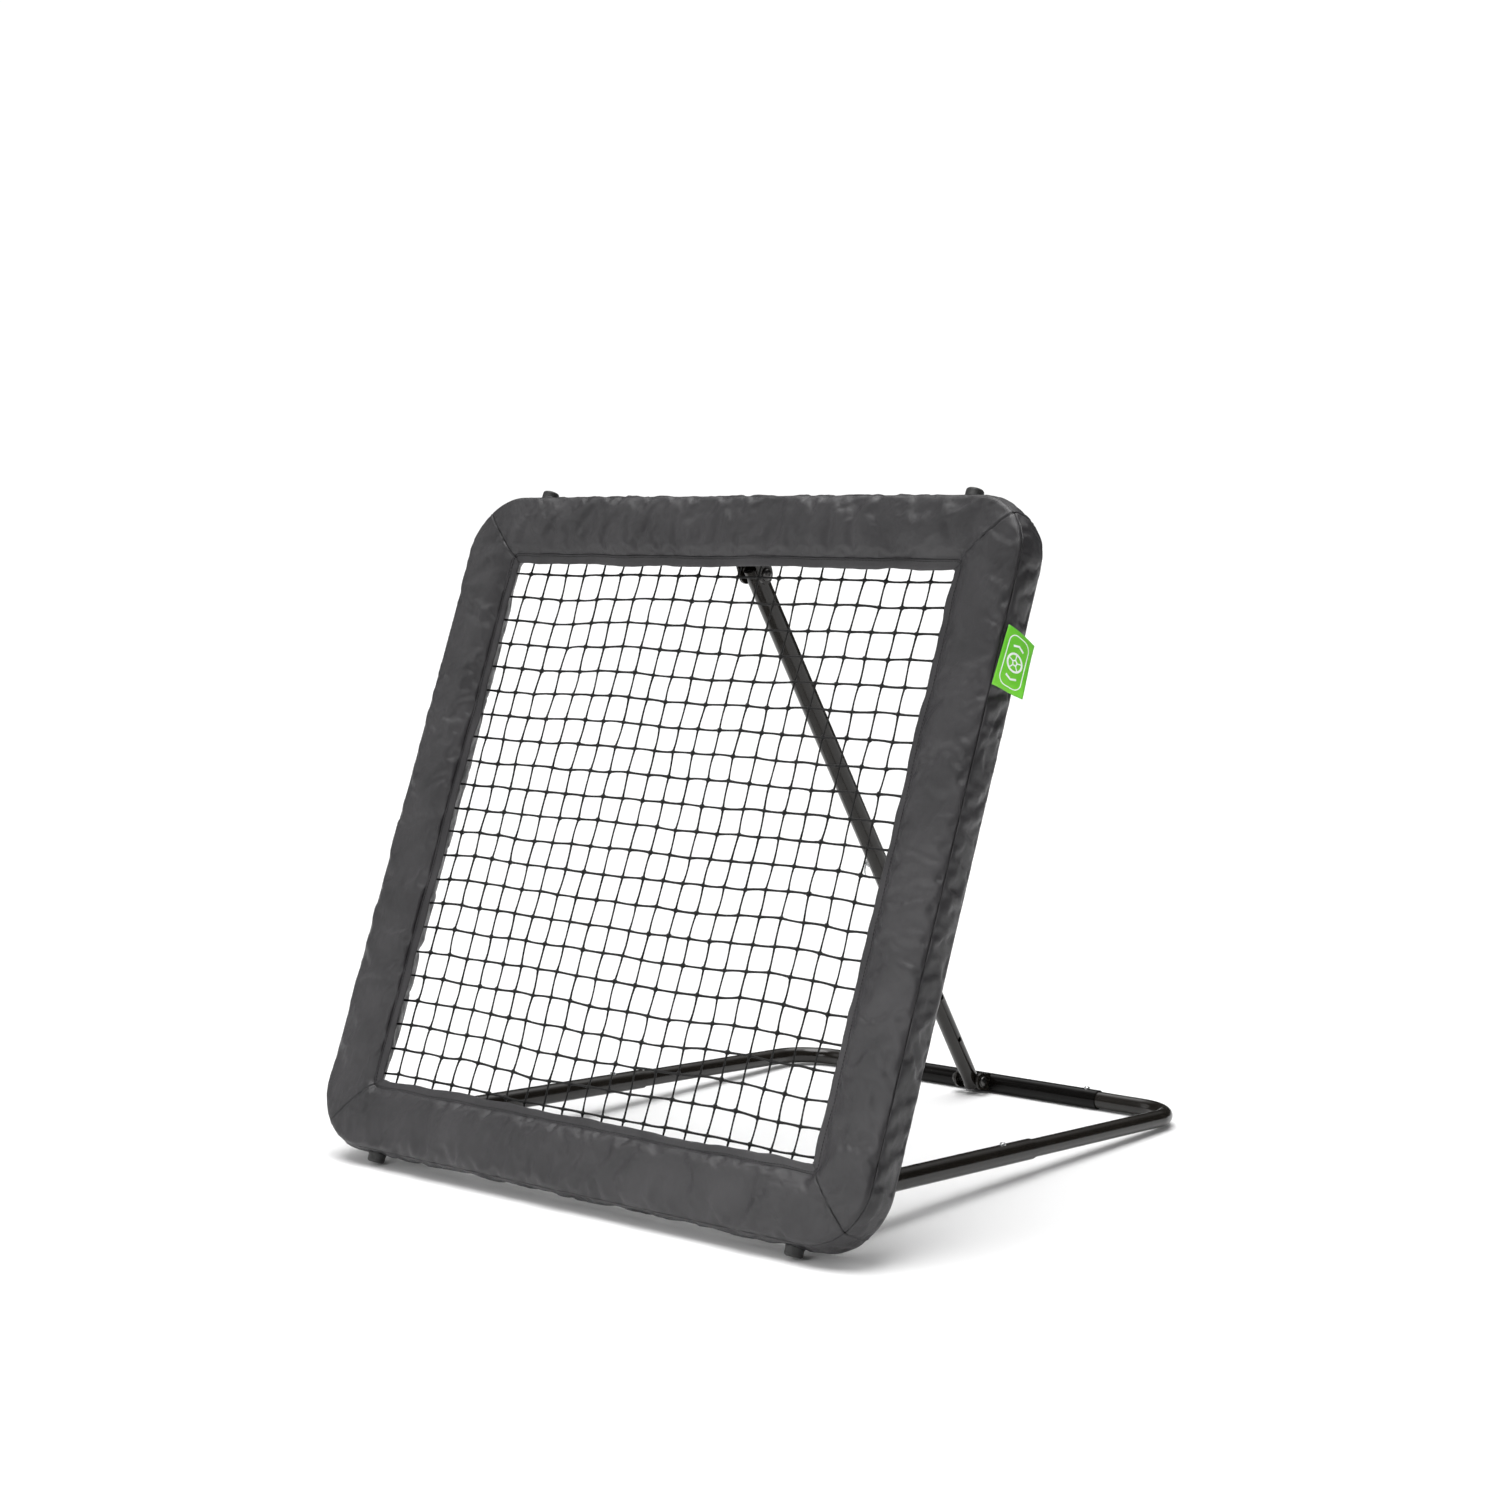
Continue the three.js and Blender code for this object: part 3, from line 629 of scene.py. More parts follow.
def resampled_section():
    """The section as points about ROW_STEP apart, and the rows that are seams."""
    points = np.array([(a, b) for a, b, _ in SECTION])
    kinds = [kind for _, _, kind in SECTION]
    rows, seams = [], {}
    for i in range(len(points) - 1):
        if kinds[i]:
            seams.setdefault(kinds[i], []).append(len(rows))
        p0, p1, p2, p3 = (points[min(max(i + k, 0), len(points) - 1)] for k in (-1, 0, 1, 2))
        if kinds[i]:
            p0 = 2 * p1 - p2
        if kinds[i + 1]:
            p3 = 2 * p2 - p1
        steps = max(1, round(np.linalg.norm(p2 - p1) / ROW_STEP))
        for step in range(steps):
            t = step / steps
            rows.append(
                0.5 * (2 * p1 + (p2 - p0) * t + (2 * p0 - 5 * p1 + 4 * p2 - p3) * t * t
                       + (3 * p1 - p0 - 3 * p2 + p3) * t ** 3)
            )
    seams.setdefault(kinds[-1], []).append(len(rows))
    rows.append(points[-1])
    return np.array(rows), seams


def round_square(inset, share, side):
    """A point on a rounded square that lies inset inside the outer edge. share goes
    from -1 to 1 along one side, and side counts them round from the bottom."""
    half = HALF - inset
    radius = max(CORNER * (1 - inset / BORDER), 0.0)
    straight = half - radius
    along = share * (straight + radius * math.pi / 4)
    if abs(along) <= straight:
        a, b = along, half
    else:
        angle = (abs(along) - straight) / radius
        a = math.copysign(straight + radius * math.sin(angle), along)
        b = straight + radius * math.cos(angle)
    x, up = [(a, -b), (b, a), (-a, b), (-b, -a)][side]
    return x, up + HALF


def smooth_noise(x, y=0.0, z=0.0, seed=0.0):
    return noise.noise(Vector((x + seed * 17.3, y - seed * 9.1, z + seed * 5.7)))


def cover_grid():
    """The cover's grid before it is sewn: rows x columns x 3, in the panel's frame."""
    section, seams = resampled_section()
    columns = 4 * COLUMNS_A_SIDE
    grid = np.zeros((len(section), columns, 3))
    hem_rows = range(seams["root"][0], seams["hem"][0])
    for j in range(columns):
        side, local = divmod(j, COLUMNS_A_SIDE)
        share = 2 * local / COLUMNS_A_SIDE - 1
        run = side * 760 + share * 380
        quiet = min(1.0, (1 - abs(share)) / 0.04)
        wave = 2.6 * smooth_noise(run / 52, seed=1) + 1.2 * smooth_noise(run / 21, seed=2)
        droop = 2.6 * smooth_noise(run / 60, seed=3) + 1.0 * smooth_noise(run / 24, seed=4)
        line = 1.8 * smooth_noise(run / 45, seed=5)
        for i, (inset, depth) in enumerate(section):
            if i in hem_rows:
                out = min(1.0, max(0.0, (inset - 77) / 11))
                inset = inset + quiet * (wave * 0.7 * out + line)
                depth = depth + quiet * droop * out
            elif i == seams["hem"][0]:
                inset = inset + quiet * line
            x, up = round_square(inset, share, side)
            grid[i, j] = (x, depth, up)
    return grid, seams


def grid_normals(grid):
    along = np.roll(grid, -1, 1) - np.roll(grid, 1, 1)
    across = np.gradient(grid, axis=0)
    normals = np.cross(along, across)
    normals /= np.maximum(np.linalg.norm(normals, axis=2), 1e-9)[:, :, None]
    middle = normals[grid[:, 0, 1].argmin()]
    return normals if middle[len(middle) // 8][1] < 0 else -normals


def pillow(grid, seams, normals):
    """Small swells and dents everywhere, which the simulation starts from."""
    rows, columns, _ = grid.shape
    swell = np.zeros((rows, columns))
    for i in range(rows):
        for j in range(columns):
            x, depth, up = grid[i, j]
            swell[i, j] = (
                1.6 * smooth_noise(x / 75, depth / 40, up / 75, 7)
                + 0.4 * smooth_noise(x / 22, depth / 20, up / 22, 8)
            )
    return grid + normals * swell[:, :, None] * free_share(grid, seams)[:, :, None]


def free_share(grid, seams):
    """How far each point may move: 0 on a seam and 1 on the loose cloth."""
    rows, columns, _ = grid.shape
    share = np.ones(rows)
    for kind in seams:
        for row in seams[kind]:
            share = np.minimum(share, np.clip(abs(np.arange(rows) - row) / 2.0, 0, 1))
    share[: seams["hem"][0]] *= 0.3
    return np.repeat(share[:, None], columns, 1)


def sew(grid, seams):
    """Simulates slack cloth over the foam: the seams hold, and the cloth between
    them is a little too large, so it gathers as the real cover does."""
    rows, columns, _ = grid.shape
    mesh = bpy.data.meshes.new("sewn")
    faces = grid_faces(rows, columns, flip=True)
    mesh.from_pydata((grid.reshape(-1, 3) * MM).tolist(), [], faces)
    cloth_piece = bpy.data.objects.new("sewn", mesh)
    bpy.context.scene.collection.objects.link(cloth_piece)
    held = cloth_piece.vertex_groups.new(name="held")
    pins = np.zeros((rows, columns))
    for kind in seams:
        for row in seams[kind]:
            pins[row] = 1.0
    pins[seams["root"][0] : seams["hem"][0]] = 1.0
    mitre = np.arange(0, columns, COLUMNS_A_SIDE)
    pins[:, mitre] = np.maximum(pins[:, mitre], 0.9)
    for index in np.flatnonzero(pins.ravel() > 0).tolist():
        held.add([index], float(pins.ravel()[index]), "REPLACE")
    cloth = cloth_piece.modifiers.new("cloth", "CLOTH")
    settings = cloth.settings
    settings.quality = 6
    settings.mass = 0.02
    settings.tension_stiffness = settings.compression_stiffness = 18
    settings.shear_stiffness = 8
    settings.bending_stiffness = 0.06
    settings.air_damping = 2.0
    settings.use_pressure = True
    settings.uniform_pressure_force = 1.6
    settings.shrink_min = -0.025
    settings.vertex_group_mass = "held"
    settings.effector_weights.gravity = 0
    cloth.collision_settings.use_collision = False
    cloth.point_cache.frame_start, cloth.point_cache.frame_end = 1, CLOTH_FRAMES
    scene = bpy.context.scene
    for number in range(1, CLOTH_FRAMES + 1):
        scene.frame_set(number)
    graph = bpy.context.evaluated_depsgraph_get()
    result = cloth_piece.evaluated_get(graph).to_mesh()
    moved = np.array([v.co[:] for v in result.vertices]).reshape(rows, columns, 3) / MM
    cloth_piece.evaluated_get(graph).to_mesh_clear()
    bpy.data.objects.remove(cloth_piece)
    bpy.data.meshes.remove(mesh)
    scene.frame_set(1)
    return moved


def capped(base, moved, normals, out=2.6, dent=1.5, slide=2.0):
    """Keeps the cloth near the foam: limits how far it moved out, in and along."""
    shift = moved - base
    lift = (shift * normals).sum(2)
    slid = shift - normals * lift[:, :, None]
    far = np.linalg.norm(slid, axis=2)
    slid *= (slide * np.tanh(far / slide) / np.maximum(far, 1e-9))[:, :, None]
    lift = np.where(lift > 0, out * np.tanh(lift / out), dent * np.tanh(lift / dent))
    return base + slid + normals * lift[:, :, None]


def halfway(grid, axis, closed):
    """Smooth points halfway between a grid's rows or columns."""
    grid = np.moveaxis(grid, axis, 0)
    if closed:
        before, after, far = np.roll(grid, 1, 0), np.roll(grid, -1, 0), np.roll(grid, -2, 0)
        between = (9 * (grid + after) - before - far) / 16
        out = np.stack([grid, between], 1).reshape(-1, *grid.shape[1:])
    else:
        start, end = 2 * grid[0] - grid[1], 2 * grid[-1] - grid[-2]
        long = np.concatenate([start[None], grid, end[None]])
        between = (9 * (long[1:-2] + long[2:-1]) - long[:-3] - long[3:]) / 16
        out = np.stack([grid[:-1], between], 1).reshape(-1, *grid.shape[1:])
        out = np.concatenate([out, grid[-1:]])
    return np.moveaxis(out, 0, axis)


def finer(grid, seams):
    """The same grid with twice as many rows and columns."""
    doubled = {kind: [2 * row for row in rows] for kind, rows in seams.items()}
    return halfway(halfway(grid, 0, False), 1, True), doubled


def valley(value, width):
    """1 in the bottom of a fold, and 0 outside it."""
    return max(0.0, 1 - abs(value) / width) ** 1.5


# Folds that start at the outer seam: (side, place along it, slant, reach over the
# front, reach over the side panel, depth, half width)
PINCHES = [
    (RIGHT_SIDE, 276, 0.5, 16, 26, 3.6, 5.0),
    (RIGHT_SIDE, 268, 0.9, 8, 20, 2.2, 3.0),
    (RIGHT_SIDE, 197, -0.4, 12, 34, 3.8, 5.0),
    (RIGHT_SIDE, 190, -0.8, 6, 22, 2.4, 3.0),
    (RIGHT_SIDE, 120, -2.2, 40, 26, 1.8, 6.0),
    (RIGHT_SIDE, -250, 1.3, 30, 20, 1.8, 6.0),
    (BOTTOM, 250, 0.7, 34, 14, 2.0, 6.0),
    (BOTTOM, 60, -0.5, 30, 14, 1.6, 6.0),
    (BOTTOM, -330, 1.0, 42, 14, 2.2, 6.0),
    (BOTTOM, -285, 0.6, 34, 14, 1.8, 5.0),
    (LEFT_SIDE, 300, -0.8, 30, 14, 1.8, 6.0),
    (LEFT_SIDE, -300, 0.9, 34, 14, 1.8, 6.0),
    (TOP, 330, -0.9, 32, 14, 1.6, 6.0),
    (TOP, -200, 0.6, 26, 14, 1.2, 6.0),
]


def fold_depth(side, run, corner, edge, hem, back):
    """How far the cloth stands out at one point. run is its place along the side,
    corner its distance from the mitre, and edge, hem and back its distances from the
    seams, of which edge is negative on the side panel."""
    seed = 20 + side
    value = 0.0
    for away, period, reach, height in ((abs(edge), 8.5, 6, 1.1), (abs(hem), 8, 4.5, 0.5),
                                        (abs(back), 9, 9, 1.1)):
        value += height * smooth_noise(run / period, away / 20, seed=seed) * math.exp(-away / reach)
    loose = 0.5 + 0.5 * smooth_noise(run / 120, edge / 90, seed=seed + 2)
    slanted = smooth_noise((run + 0.9 * edge) / 40, edge / 120, seed=seed + 4)
    value -= 1.0 * loose * valley(slanted, 0.12) * math.exp(-abs(edge) / 30)
    other = smooth_noise((run - 1.1 * edge) / 52, edge / 110, seed=seed + 8)
    value -= 0.7 * (1 - loose) * valley(other, 0.10) * math.exp(-abs(hem) / 26)
    value += 1.1 * smooth_noise((run + edge) / 48, (run - edge) / 80, seed=seed + 12)
    near_mitre = smooth_noise(corner / 26, (edge + 0.5 * corner) / 15, seed=seed + 16)
    value -= 1.1 * valley(near_mitre, 0.2) * math.exp(-corner / 30)
    for place, at, slant, front, over, deep, width in PINCHES:
        if place == side:
            reach = front if edge > 0 else over
            off = (run - at - slant * edge) / width
            value -= deep * math.exp(-off * off) * math.exp(-abs(edge) / reach)
    return value


def wrinkled(grid, seams):
    """Adds gathers along the seams, folds that run from them and small crumples."""
    rows, columns, _ = grid.shape
    normals = grid_normals(grid)
    steps = np.linalg.norm(np.diff(grid[:, columns // 8], axis=0), axis=1)
    down = np.concatenate([[0], np.cumsum(steps)])
    share = free_share(grid, seams)[:, 0]
    lift = np.zeros((rows, columns))
    edge_at, hem_at, back_at = (down[seams[kind][0]] for kind in ("edge", "hem", "back"))
    a_side = columns // 4
    for j in range(columns):
        side, local = divmod(j, a_side)
        for i in range(rows):
            inset = (HALF - abs(grid[i, j, 0])) if side % 2 else (HALF - abs(grid[i, j, 2] - HALF))
            long = HALF - min(max(inset, 0), BORDER)
            run = (2 * local / a_side - 1) * long
            lift[i, j] = share[i] * fold_depth(
                side, run, long - abs(run), edge_at - down[i], hem_at - down[i], back_at - down[i])
    return grid + normals * lift[:, :, None]


def add_seam_lines(grid, normals, seams):
    """Rows close to both sides of each seam, with the seam itself sunk, so that it
    shows as a narrow line. Returns the grid and each seam's new row."""
    sunk = {"edge": 3.0, "hem": 2.0, "back": 2.0, "root": 0.8}
    rows, found = [], {}
    for i in range(len(grid)):
        kind = next((k for k, found_rows in seams.items() if i in found_rows), "")
        if kind in sunk:
            for other, share in ((i - 1, 0.28), (i, 0), (i + 1, 0.28)):
                if other == i:
                    found[kind] = len(rows)
                    rows.append(grid[i] - normals[i] * sunk[kind])
                else:
                    rows.append(grid[i] + (grid[other] - grid[i]) * share + normals[i] * 0.35)
        else:
            rows.append(grid[i])
    return np.array(rows), found


def add_mitre_lines(grid):
    """The same for the four mitre seams, which run across the grid's rows."""
    columns, step = [], grid.shape[1] // 4
    normals = grid_normals(grid)
    for j in range(grid.shape[1]):
        if j % step:
            columns.append(grid[:, j])
            continue
        before, after = grid[:, j - 1], grid[:, (j + 1) % grid.shape[1]]
        here, up = grid[:, j], normals[:, j]
        columns.append(here + (before - here) * 0.4 + up * 0.3)
        columns.append(here - up * 2.2)
        columns.append(here + (after - here) * 0.4 + up * 0.9)
    return np.stack(columns, axis=1)


def slots_in(grid):
    """Snaps grid columns to the sides of the slots that the brackets' ears go
    through, and returns the grid rows and columns whose faces are left out."""
    removed = []
    places = [(-HINGE_X, HINGE_UP, 0), (HINGE_X, HINGE_UP, 0), (0.0, STRUT_UP, 1)]
    for x, up, top in places:
        tube_up = SIDE - TUBE_INSET if top else TUBE_INSET
        way = np.array([PIVOT_DEPTH - TUBE_DEPTH, up - tube_up])
        way /= np.linalg.norm(way)
        for ear in (-1, 1):
            middle = x + ear * (EAR_HALF + EAR / 2)
            offset = grid[:, :, 1:] - np.array([TUBE_DEPTH, tube_up])
            along = offset @ way
            beside = np.abs(offset @ np.array([-way[1], way[0]]))
            band = (along > SLOT_FROM) & (beside < SLOT_LONG)
            near = np.abs(grid[:, :, 0] - middle) < SLOT_NEAR
            rows = np.flatnonzero((band & near).any(1))
            row = rows[len(rows) // 2]
            on_side = np.flatnonzero((band & near)[row])
            low = on_side[np.abs(grid[row, on_side, 0] - (middle - SLOT_HALF)).argmin()]
            high = on_side[np.abs(grid[row, on_side, 0] - (middle + SLOT_HALF)).argmin()]
            first, last = min(low, high), max(low, high)
            if first == last:
                last += 1
            left, right = sorted((first, last), key=lambda c: grid[row, c, 0])
            for i in rows:
                grid[i, left, 0], grid[i, right, 0] = middle - SLOT_HALF, middle + SLOT_HALF
            removed.append((int(rows[0]), int(rows[-1]), first, last))
    return removed


def make_cover():
    grid, seams = cover_grid()
    normals = grid_normals(grid)
    start = pillow(grid, seams, normals)
    moved = capped(grid, sew(start, seams), normals)
    moved, seams = finer(moved, seams)
    moved = wrinkled(moved, seams)
    normals = grid_normals(moved)
    lined, lines = add_seam_lines(moved, normals, seams)
    lined = add_mitre_lines(lined)
    removed = slots_in(lined)
    rows, columns, _ = lined.shape
    middle = columns // 8
    steps = np.linalg.norm(np.diff(lined[:, middle], axis=0), axis=1)
    down = np.concatenate([[0], np.cumsum(steps)])
    round_it = np.concatenate(
        [[0], np.cumsum(np.linalg.norm(np.roll(lined, -1, 1) - lined, axis=2).mean(0))])
    faces, uvs, hole_loops = [], [], []
    gone = set()
    for top, bottom, first, last in removed:
        gone |= {(i, j) for i in range(top, bottom) for j in range(first, last)}
        edge = [(top, j) for j in range(first, last)] + [(i, last) for i in range(top, bottom)]
        edge += [(bottom, j) for j in range(last, first, -1)]
        edge += [(i, first) for i in range(bottom, top, -1)]
        hole_loops.append(np.array([lined[i, j] for i, j in edge]))
    for i in range(rows - 1):
        for j in range(columns):
            if (i, j) in gone:
                continue
            k = (j + 1) % columns
            here, below = i * columns, (i + 1) * columns
            faces.append((here + j, below + j, below + k, here + k))
            uvs += [(round_it[j], down[i]), (round_it[j], down[i + 1]),
                    (round_it[j + 1], down[i + 1]), (round_it[j + 1], down[i])]
    cover = add_piece("padded_cover", lined.reshape(-1, 3), faces, FABRIC, PANEL, "panel",
                      np.array(uvs) * MM)
    thick = cover.modifiers.new("cloth_thickness", "SOLIDIFY")
    thick.thickness, thick.offset = 0.9 * MM, -1
    replace(cover, "cover_fabric", "cover_bottom", "cover_left", "cover_top", "cover_right")

    normals = grid_normals(lined)
    seam_parts = []
    for kind, radius in SEAM_CORDS:
        line = lined[lines[kind]] + normals[lines[kind]] * 0.6
        seam_parts.append(tube(line, radius, 6, closed=True))
    for corner in range(4):
        j = corner * (columns // 4) + 1
        span = slice(lines["hem"], lines["back"])
        line = lined[span, j] + normals[span, j] * 0.4
        seam_parts.append(tube(line, 0.95, 6))
    cords = solid_piece("cover_seam_lines", seam_parts, THREAD, PANEL, "panel", 60)
    parts = [tube(loop, 1.5, 8, closed=True) for loop in hole_loops]
    binding = solid_piece("cover_slot_binding", parts, BINDING, PANEL, "panel", 60)
    return lined, lines


def stitches_along(line, outward, pitch=4.2, length=2.9, radius=0.42):
    """Short raised stitches along a closed line."""
    line = np.concatenate([line, line[:1]])
    outward = np.concatenate([outward, outward[:1]])
    run = np.concatenate([[0], np.cumsum(np.linalg.norm(np.diff(line, axis=0), axis=1))])
    parts = []
    for start in np.arange(0, run[-1] - length, pitch):
        at = start + np.array([0.0, 0.16, 0.5, 0.84, 1.0]) * length
        lift = np.array([-0.35, 0.28, 0.42, 0.28, -0.35])
        path = np.stack([np.interp(at, run, line[:, k]) for k in range(3)], 1)
        up = np.stack([np.interp(at, run, outward[:, k]) for k in range(3)], 1)
        parts.append(tube(path + up * lift[:, None], radius * np.array([0.7, 1, 1, 1, 0.7]), 5))
    return parts


# -------------------------------------------------------------------- the camera


CAMERA_AT, CAMERA_DIP, CAMERA_TURN = (2.00703, -2.51006, 0.77384), 8.244, 39.646
CAMERA_LENS, CAMERA_SENSOR, CAMERA_SHIFT = 63.31, 36.0, 0.10


def make_camera():
    data = bpy.data.cameras.new("camera")
    data.lens, data.sensor_width = CAMERA_LENS, CAMERA_SENSOR
    data.shift_y = CAMERA_SHIFT
    camera = bpy.data.objects.new("camera", data)
    camera.location = CAMERA_AT
    camera.rotation_euler = (math.radians(90 - CAMERA_DIP), 0, math.radians(CAMERA_TURN))
    data.clip_start, data.clip_end = 0.05, 200
    bpy.context.scene.collection.objects.link(camera)
    bpy.context.scene.camera = camera


def make_studio():
    size = 60.0
    mesh = bpy.data.meshes.new("floor")
    corners = [(-size, -size, 0), (size, -size, 0), (size, size, 0), (-size, size, 0)]
    mesh.from_pydata(corners, [], [(0, 1, 2, 3)])
    mesh.materials.append(floor_material())
    floor = bpy.data.objects.new("floor", mesh)
    bpy.context.scene.collection.objects.link(floor)

    world = bpy.data.worlds.new("studio")
    bpy.context.scene.world = world
    world.use_nodes = True
    nodes, links = world.node_tree.nodes, world.node_tree.links
    nodes.clear()
    coords = nodes.new("ShaderNodeTexCoord")
    path = nodes.new("ShaderNodeLightPath")

    def sky(direction, *stops):
        """A grey sky whose brightness follows the angle from a direction: stops hold
        (that angle's cosine, from 0 to 1, and the brightness)."""
        towards = nodes.new("ShaderNodeVectorMath")
        towards.operation = "DOT_PRODUCT"
        towards.inputs[1].default_value = Vector(direction).normalized()
        links.new(coords.outputs["Generated"], towards.inputs[0])
        ramp = nodes.new("ShaderNodeValToRGB")
        elements = ramp.color_ramp.elements
        while len(elements) < len(stops):
            elements.new(1.0)
        for element, (position, value) in zip(elements, stops):
            element.position = position
            element.color = (value, value, value, 1)
        links.new(towards.outputs["Value"], ramp.inputs[0])
        background = nodes.new("ShaderNodeBackground")
        links.new(ramp.outputs[0], background.inputs["Color"])
        return background.outputs[0]

    def choose(factor, off, on):
        mix = nodes.new("ShaderNodeMixShader")
        links.new(factor, mix.inputs[0])
        links.new(off, mix.inputs[1])
        links.new(on, mix.inputs[2])
        return mix.outputs[0]

    seen = nodes.new("ShaderNodeBackground")
    seen.inputs["Color"].default_value = (1, 1, 1, 1)
    seen.inputs["Strength"].default_value = 1.05
    diffuse = sky((0, 0, 1), (0.0, 0.12), (0.25, 0.14), (0.55, 0.44), (0.9, 0.68))
    overhead = sky(
        (-0.15, 0.35, 0.9), (0.0, 0.02), (0.72, 0.03), (0.86, 0.5), (0.93, 2.4), (1.0, 2.4))
    front = sky((-0.75, -0.55, 0.4), (0.0, 0.0), (0.75, 0.0), (0.9, 0.15), (0.97, 0.4))
    shine = nodes.new("ShaderNodeAddShader")
    links.new(overhead, shine.inputs[0])
    links.new(front, shine.inputs[1])
    shine = shine.outputs[0]
    surface = choose(path.outputs["Is Glossy Ray"], diffuse, shine)
    surface = choose(path.outputs["Is Camera Ray"], surface, seen.outputs[0])
    links.new(surface, nodes.new("ShaderNodeOutputWorld").inputs["Surface"])

    def sun(name, strength, angle, tilt, turn):
        data = bpy.data.lights.new(name, "SUN")
        data.energy, data.angle = strength, math.radians(angle)
        lamp = bpy.data.objects.new(name, data)
        lamp.rotation_euler = (math.radians(tilt), 0, math.radians(turn))
        bpy.context.scene.collection.objects.link(lamp)

    sun("key", 2.6, 44, 7, -12)
    sun("side_fill", 0.3, 40, 66, -62)
    data = bpy.data.lights.new("low_softbox", "AREA")
    data.shape, data.size, data.size_y, data.energy = "RECTANGLE", 0.9, 0.7, 7
    softbox = bpy.data.objects.new("low_softbox", data)
    softbox.location = (0.1, -1.6, 0.6)
    aim = Vector((0.15, -0.3, 0.2)) - softbox.location
    softbox.rotation_euler = aim.to_track_quat("-Z", "Y").to_euler()
    bpy.context.scene.collection.objects.link(softbox)
    scene = bpy.context.scene
    scene.view_settings.view_transform = "Standard"
    scene.view_settings.look = "None"


make_camera()
make_studio()

cover_rows, cover_lines = make_cover()

# stitching along the hem
cover_up = grid_normals(cover_rows)
hem_line = cover_lines["hem"] - 2
stitch_parts = stitches_along(cover_rows[hem_line], cover_up[hem_line])
stitching = solid_piece("hem_stitching", stitch_parts, THREAD, PANEL, "panel", 60)

# ------------------------------------------------------------------ inside the pad


PAD_SIDES = ("bottom", "right", "top", "left")


def make_foam():
    """Four foam channels round the frame, open towards the net."""
    profile = np.array([
        (50, 43), (30, 45), (17, 43), (12, 36), (11, 27), (12, 17), (18, 11), (34, 9.5), (64, 11),
        (68, 8.6), (50, 5.2), (30, 4.8), (14, 7), (7, 12), (5.5, 27), (6, 40), (12, 47.5),
        (30, 49.5), (48, 48.5),
    ])
    # where the brackets and the feet come through: the brackets' places, and how far up
    # the brackets and the feet are
    gaps = {"bottom": ((-HINGE_X, HINGE_X), 45, 8), "top": ((0,), SIDE - 45, SIDE - 8)}
    for side, name in enumerate(PAD_SIDES):
        shares = np.linspace(-0.992, 0.992, 60)
        rings = [[(*round_square(inset, share, side), depth) for inset, depth in profile]
                 for share in shares]
        points = np.array(rings)[:, :, [0, 2, 1]].reshape(-1, 3)
        count = len(profile)
        faces = grid_faces(len(shares), count) + end_caps(len(shares), count)
        foam = add_piece(f"pad_foam_{name}", points, faces, FOAM, PANEL, "panel")
        face_outwards(foam)
        if name in gaps:
            bracket_at, bracket_up, foot_up = gaps[name]
            cut_holes(foam, [block(x, 45, bracket_up, 40, 40, 46) for x in bracket_at]
                      + [block(x, TUBE_DEPTH, foot_up, 24, 24, 26) for x in (-FOOT_X, FOOT_X)])
        crease(foam, 50)
        replace(foam, "foam", f"foam_{name}")


def block(x, depth, up, wide, deep, high):
    corners = [
        (x + i * wide / 2, depth + j * deep / 2, up + k * high / 2)
        for i in (-1, 1) for j in (-1, 1) for k in (-1, 1)
    ]
    faces = [(0, 1, 3, 2), (4, 6, 7, 5), (0, 4, 5, 1), (2, 3, 7, 6), (0, 2, 6, 4), (1, 5, 7, 3)]
    return corners, faces


make_foam()

# ------------------------------------------------------------------------ the net

NET_HALF = 354.0
CORDS = 24
ROPE_LINE = 357.3
LACING_REACH, LACING_TURNS = 317.3, 8


def net_knots():
    """Where the net's knots are: an even mesh, pulled a little out of true."""
    draw = random.Random(4)
    knots = np.zeros((CORDS, CORDS, 3))
    spots = np.linspace(-NET_HALF, NET_HALF, CORDS)
    for i in range(CORDS):
        for j in range(CORDS):
            x, up = spots[i], spots[j]
            edge = min(1.0, (NET_HALF - max(abs(x), abs(up))) / 60)
            x += edge * (5.0 * smooth_noise(x / 150, up / 150, seed=11) + draw.uniform(-1, 1))
            up += edge * (5.0 * smooth_noise(x / 150, up / 150, seed=12) + draw.uniform(-1, 1))
            pulled = math.exp(-(x + NET_HALF) / 45) * max(0.0, min(1.0, (60 - up) / 250))
            up += edge * 9 * pulled
            sag = edge * (2.0 * smooth_noise(x / 120, up / 120, seed=13) + draw.uniform(-0.5, 0.5))
            knots[i, j] = (x, TUBE_DEPTH + sag, up + HALF)
    return knots


def knot_shape(draw):
    """A lumpy knot, about 5 mm across."""
    made = bmesh.new()
    bmesh.ops.create_icosphere(made, subdivisions=2, radius=1.0)
    points = np.array([v.co[:] for v in made.verts])
    faces = [tuple(v.index for v in f.verts) for f in made.faces]
    made.free()
    shapes = []
    for _ in range(6):
        lumps = np.array([1 + 0.28 * smooth_noise(*(p * 1.7), seed=draw.uniform(0, 50))
                          for p in points])
        shapes.append(points * lumps[:, None] * np.array([3.0, 2.3, 2.9]))
    return shapes, faces


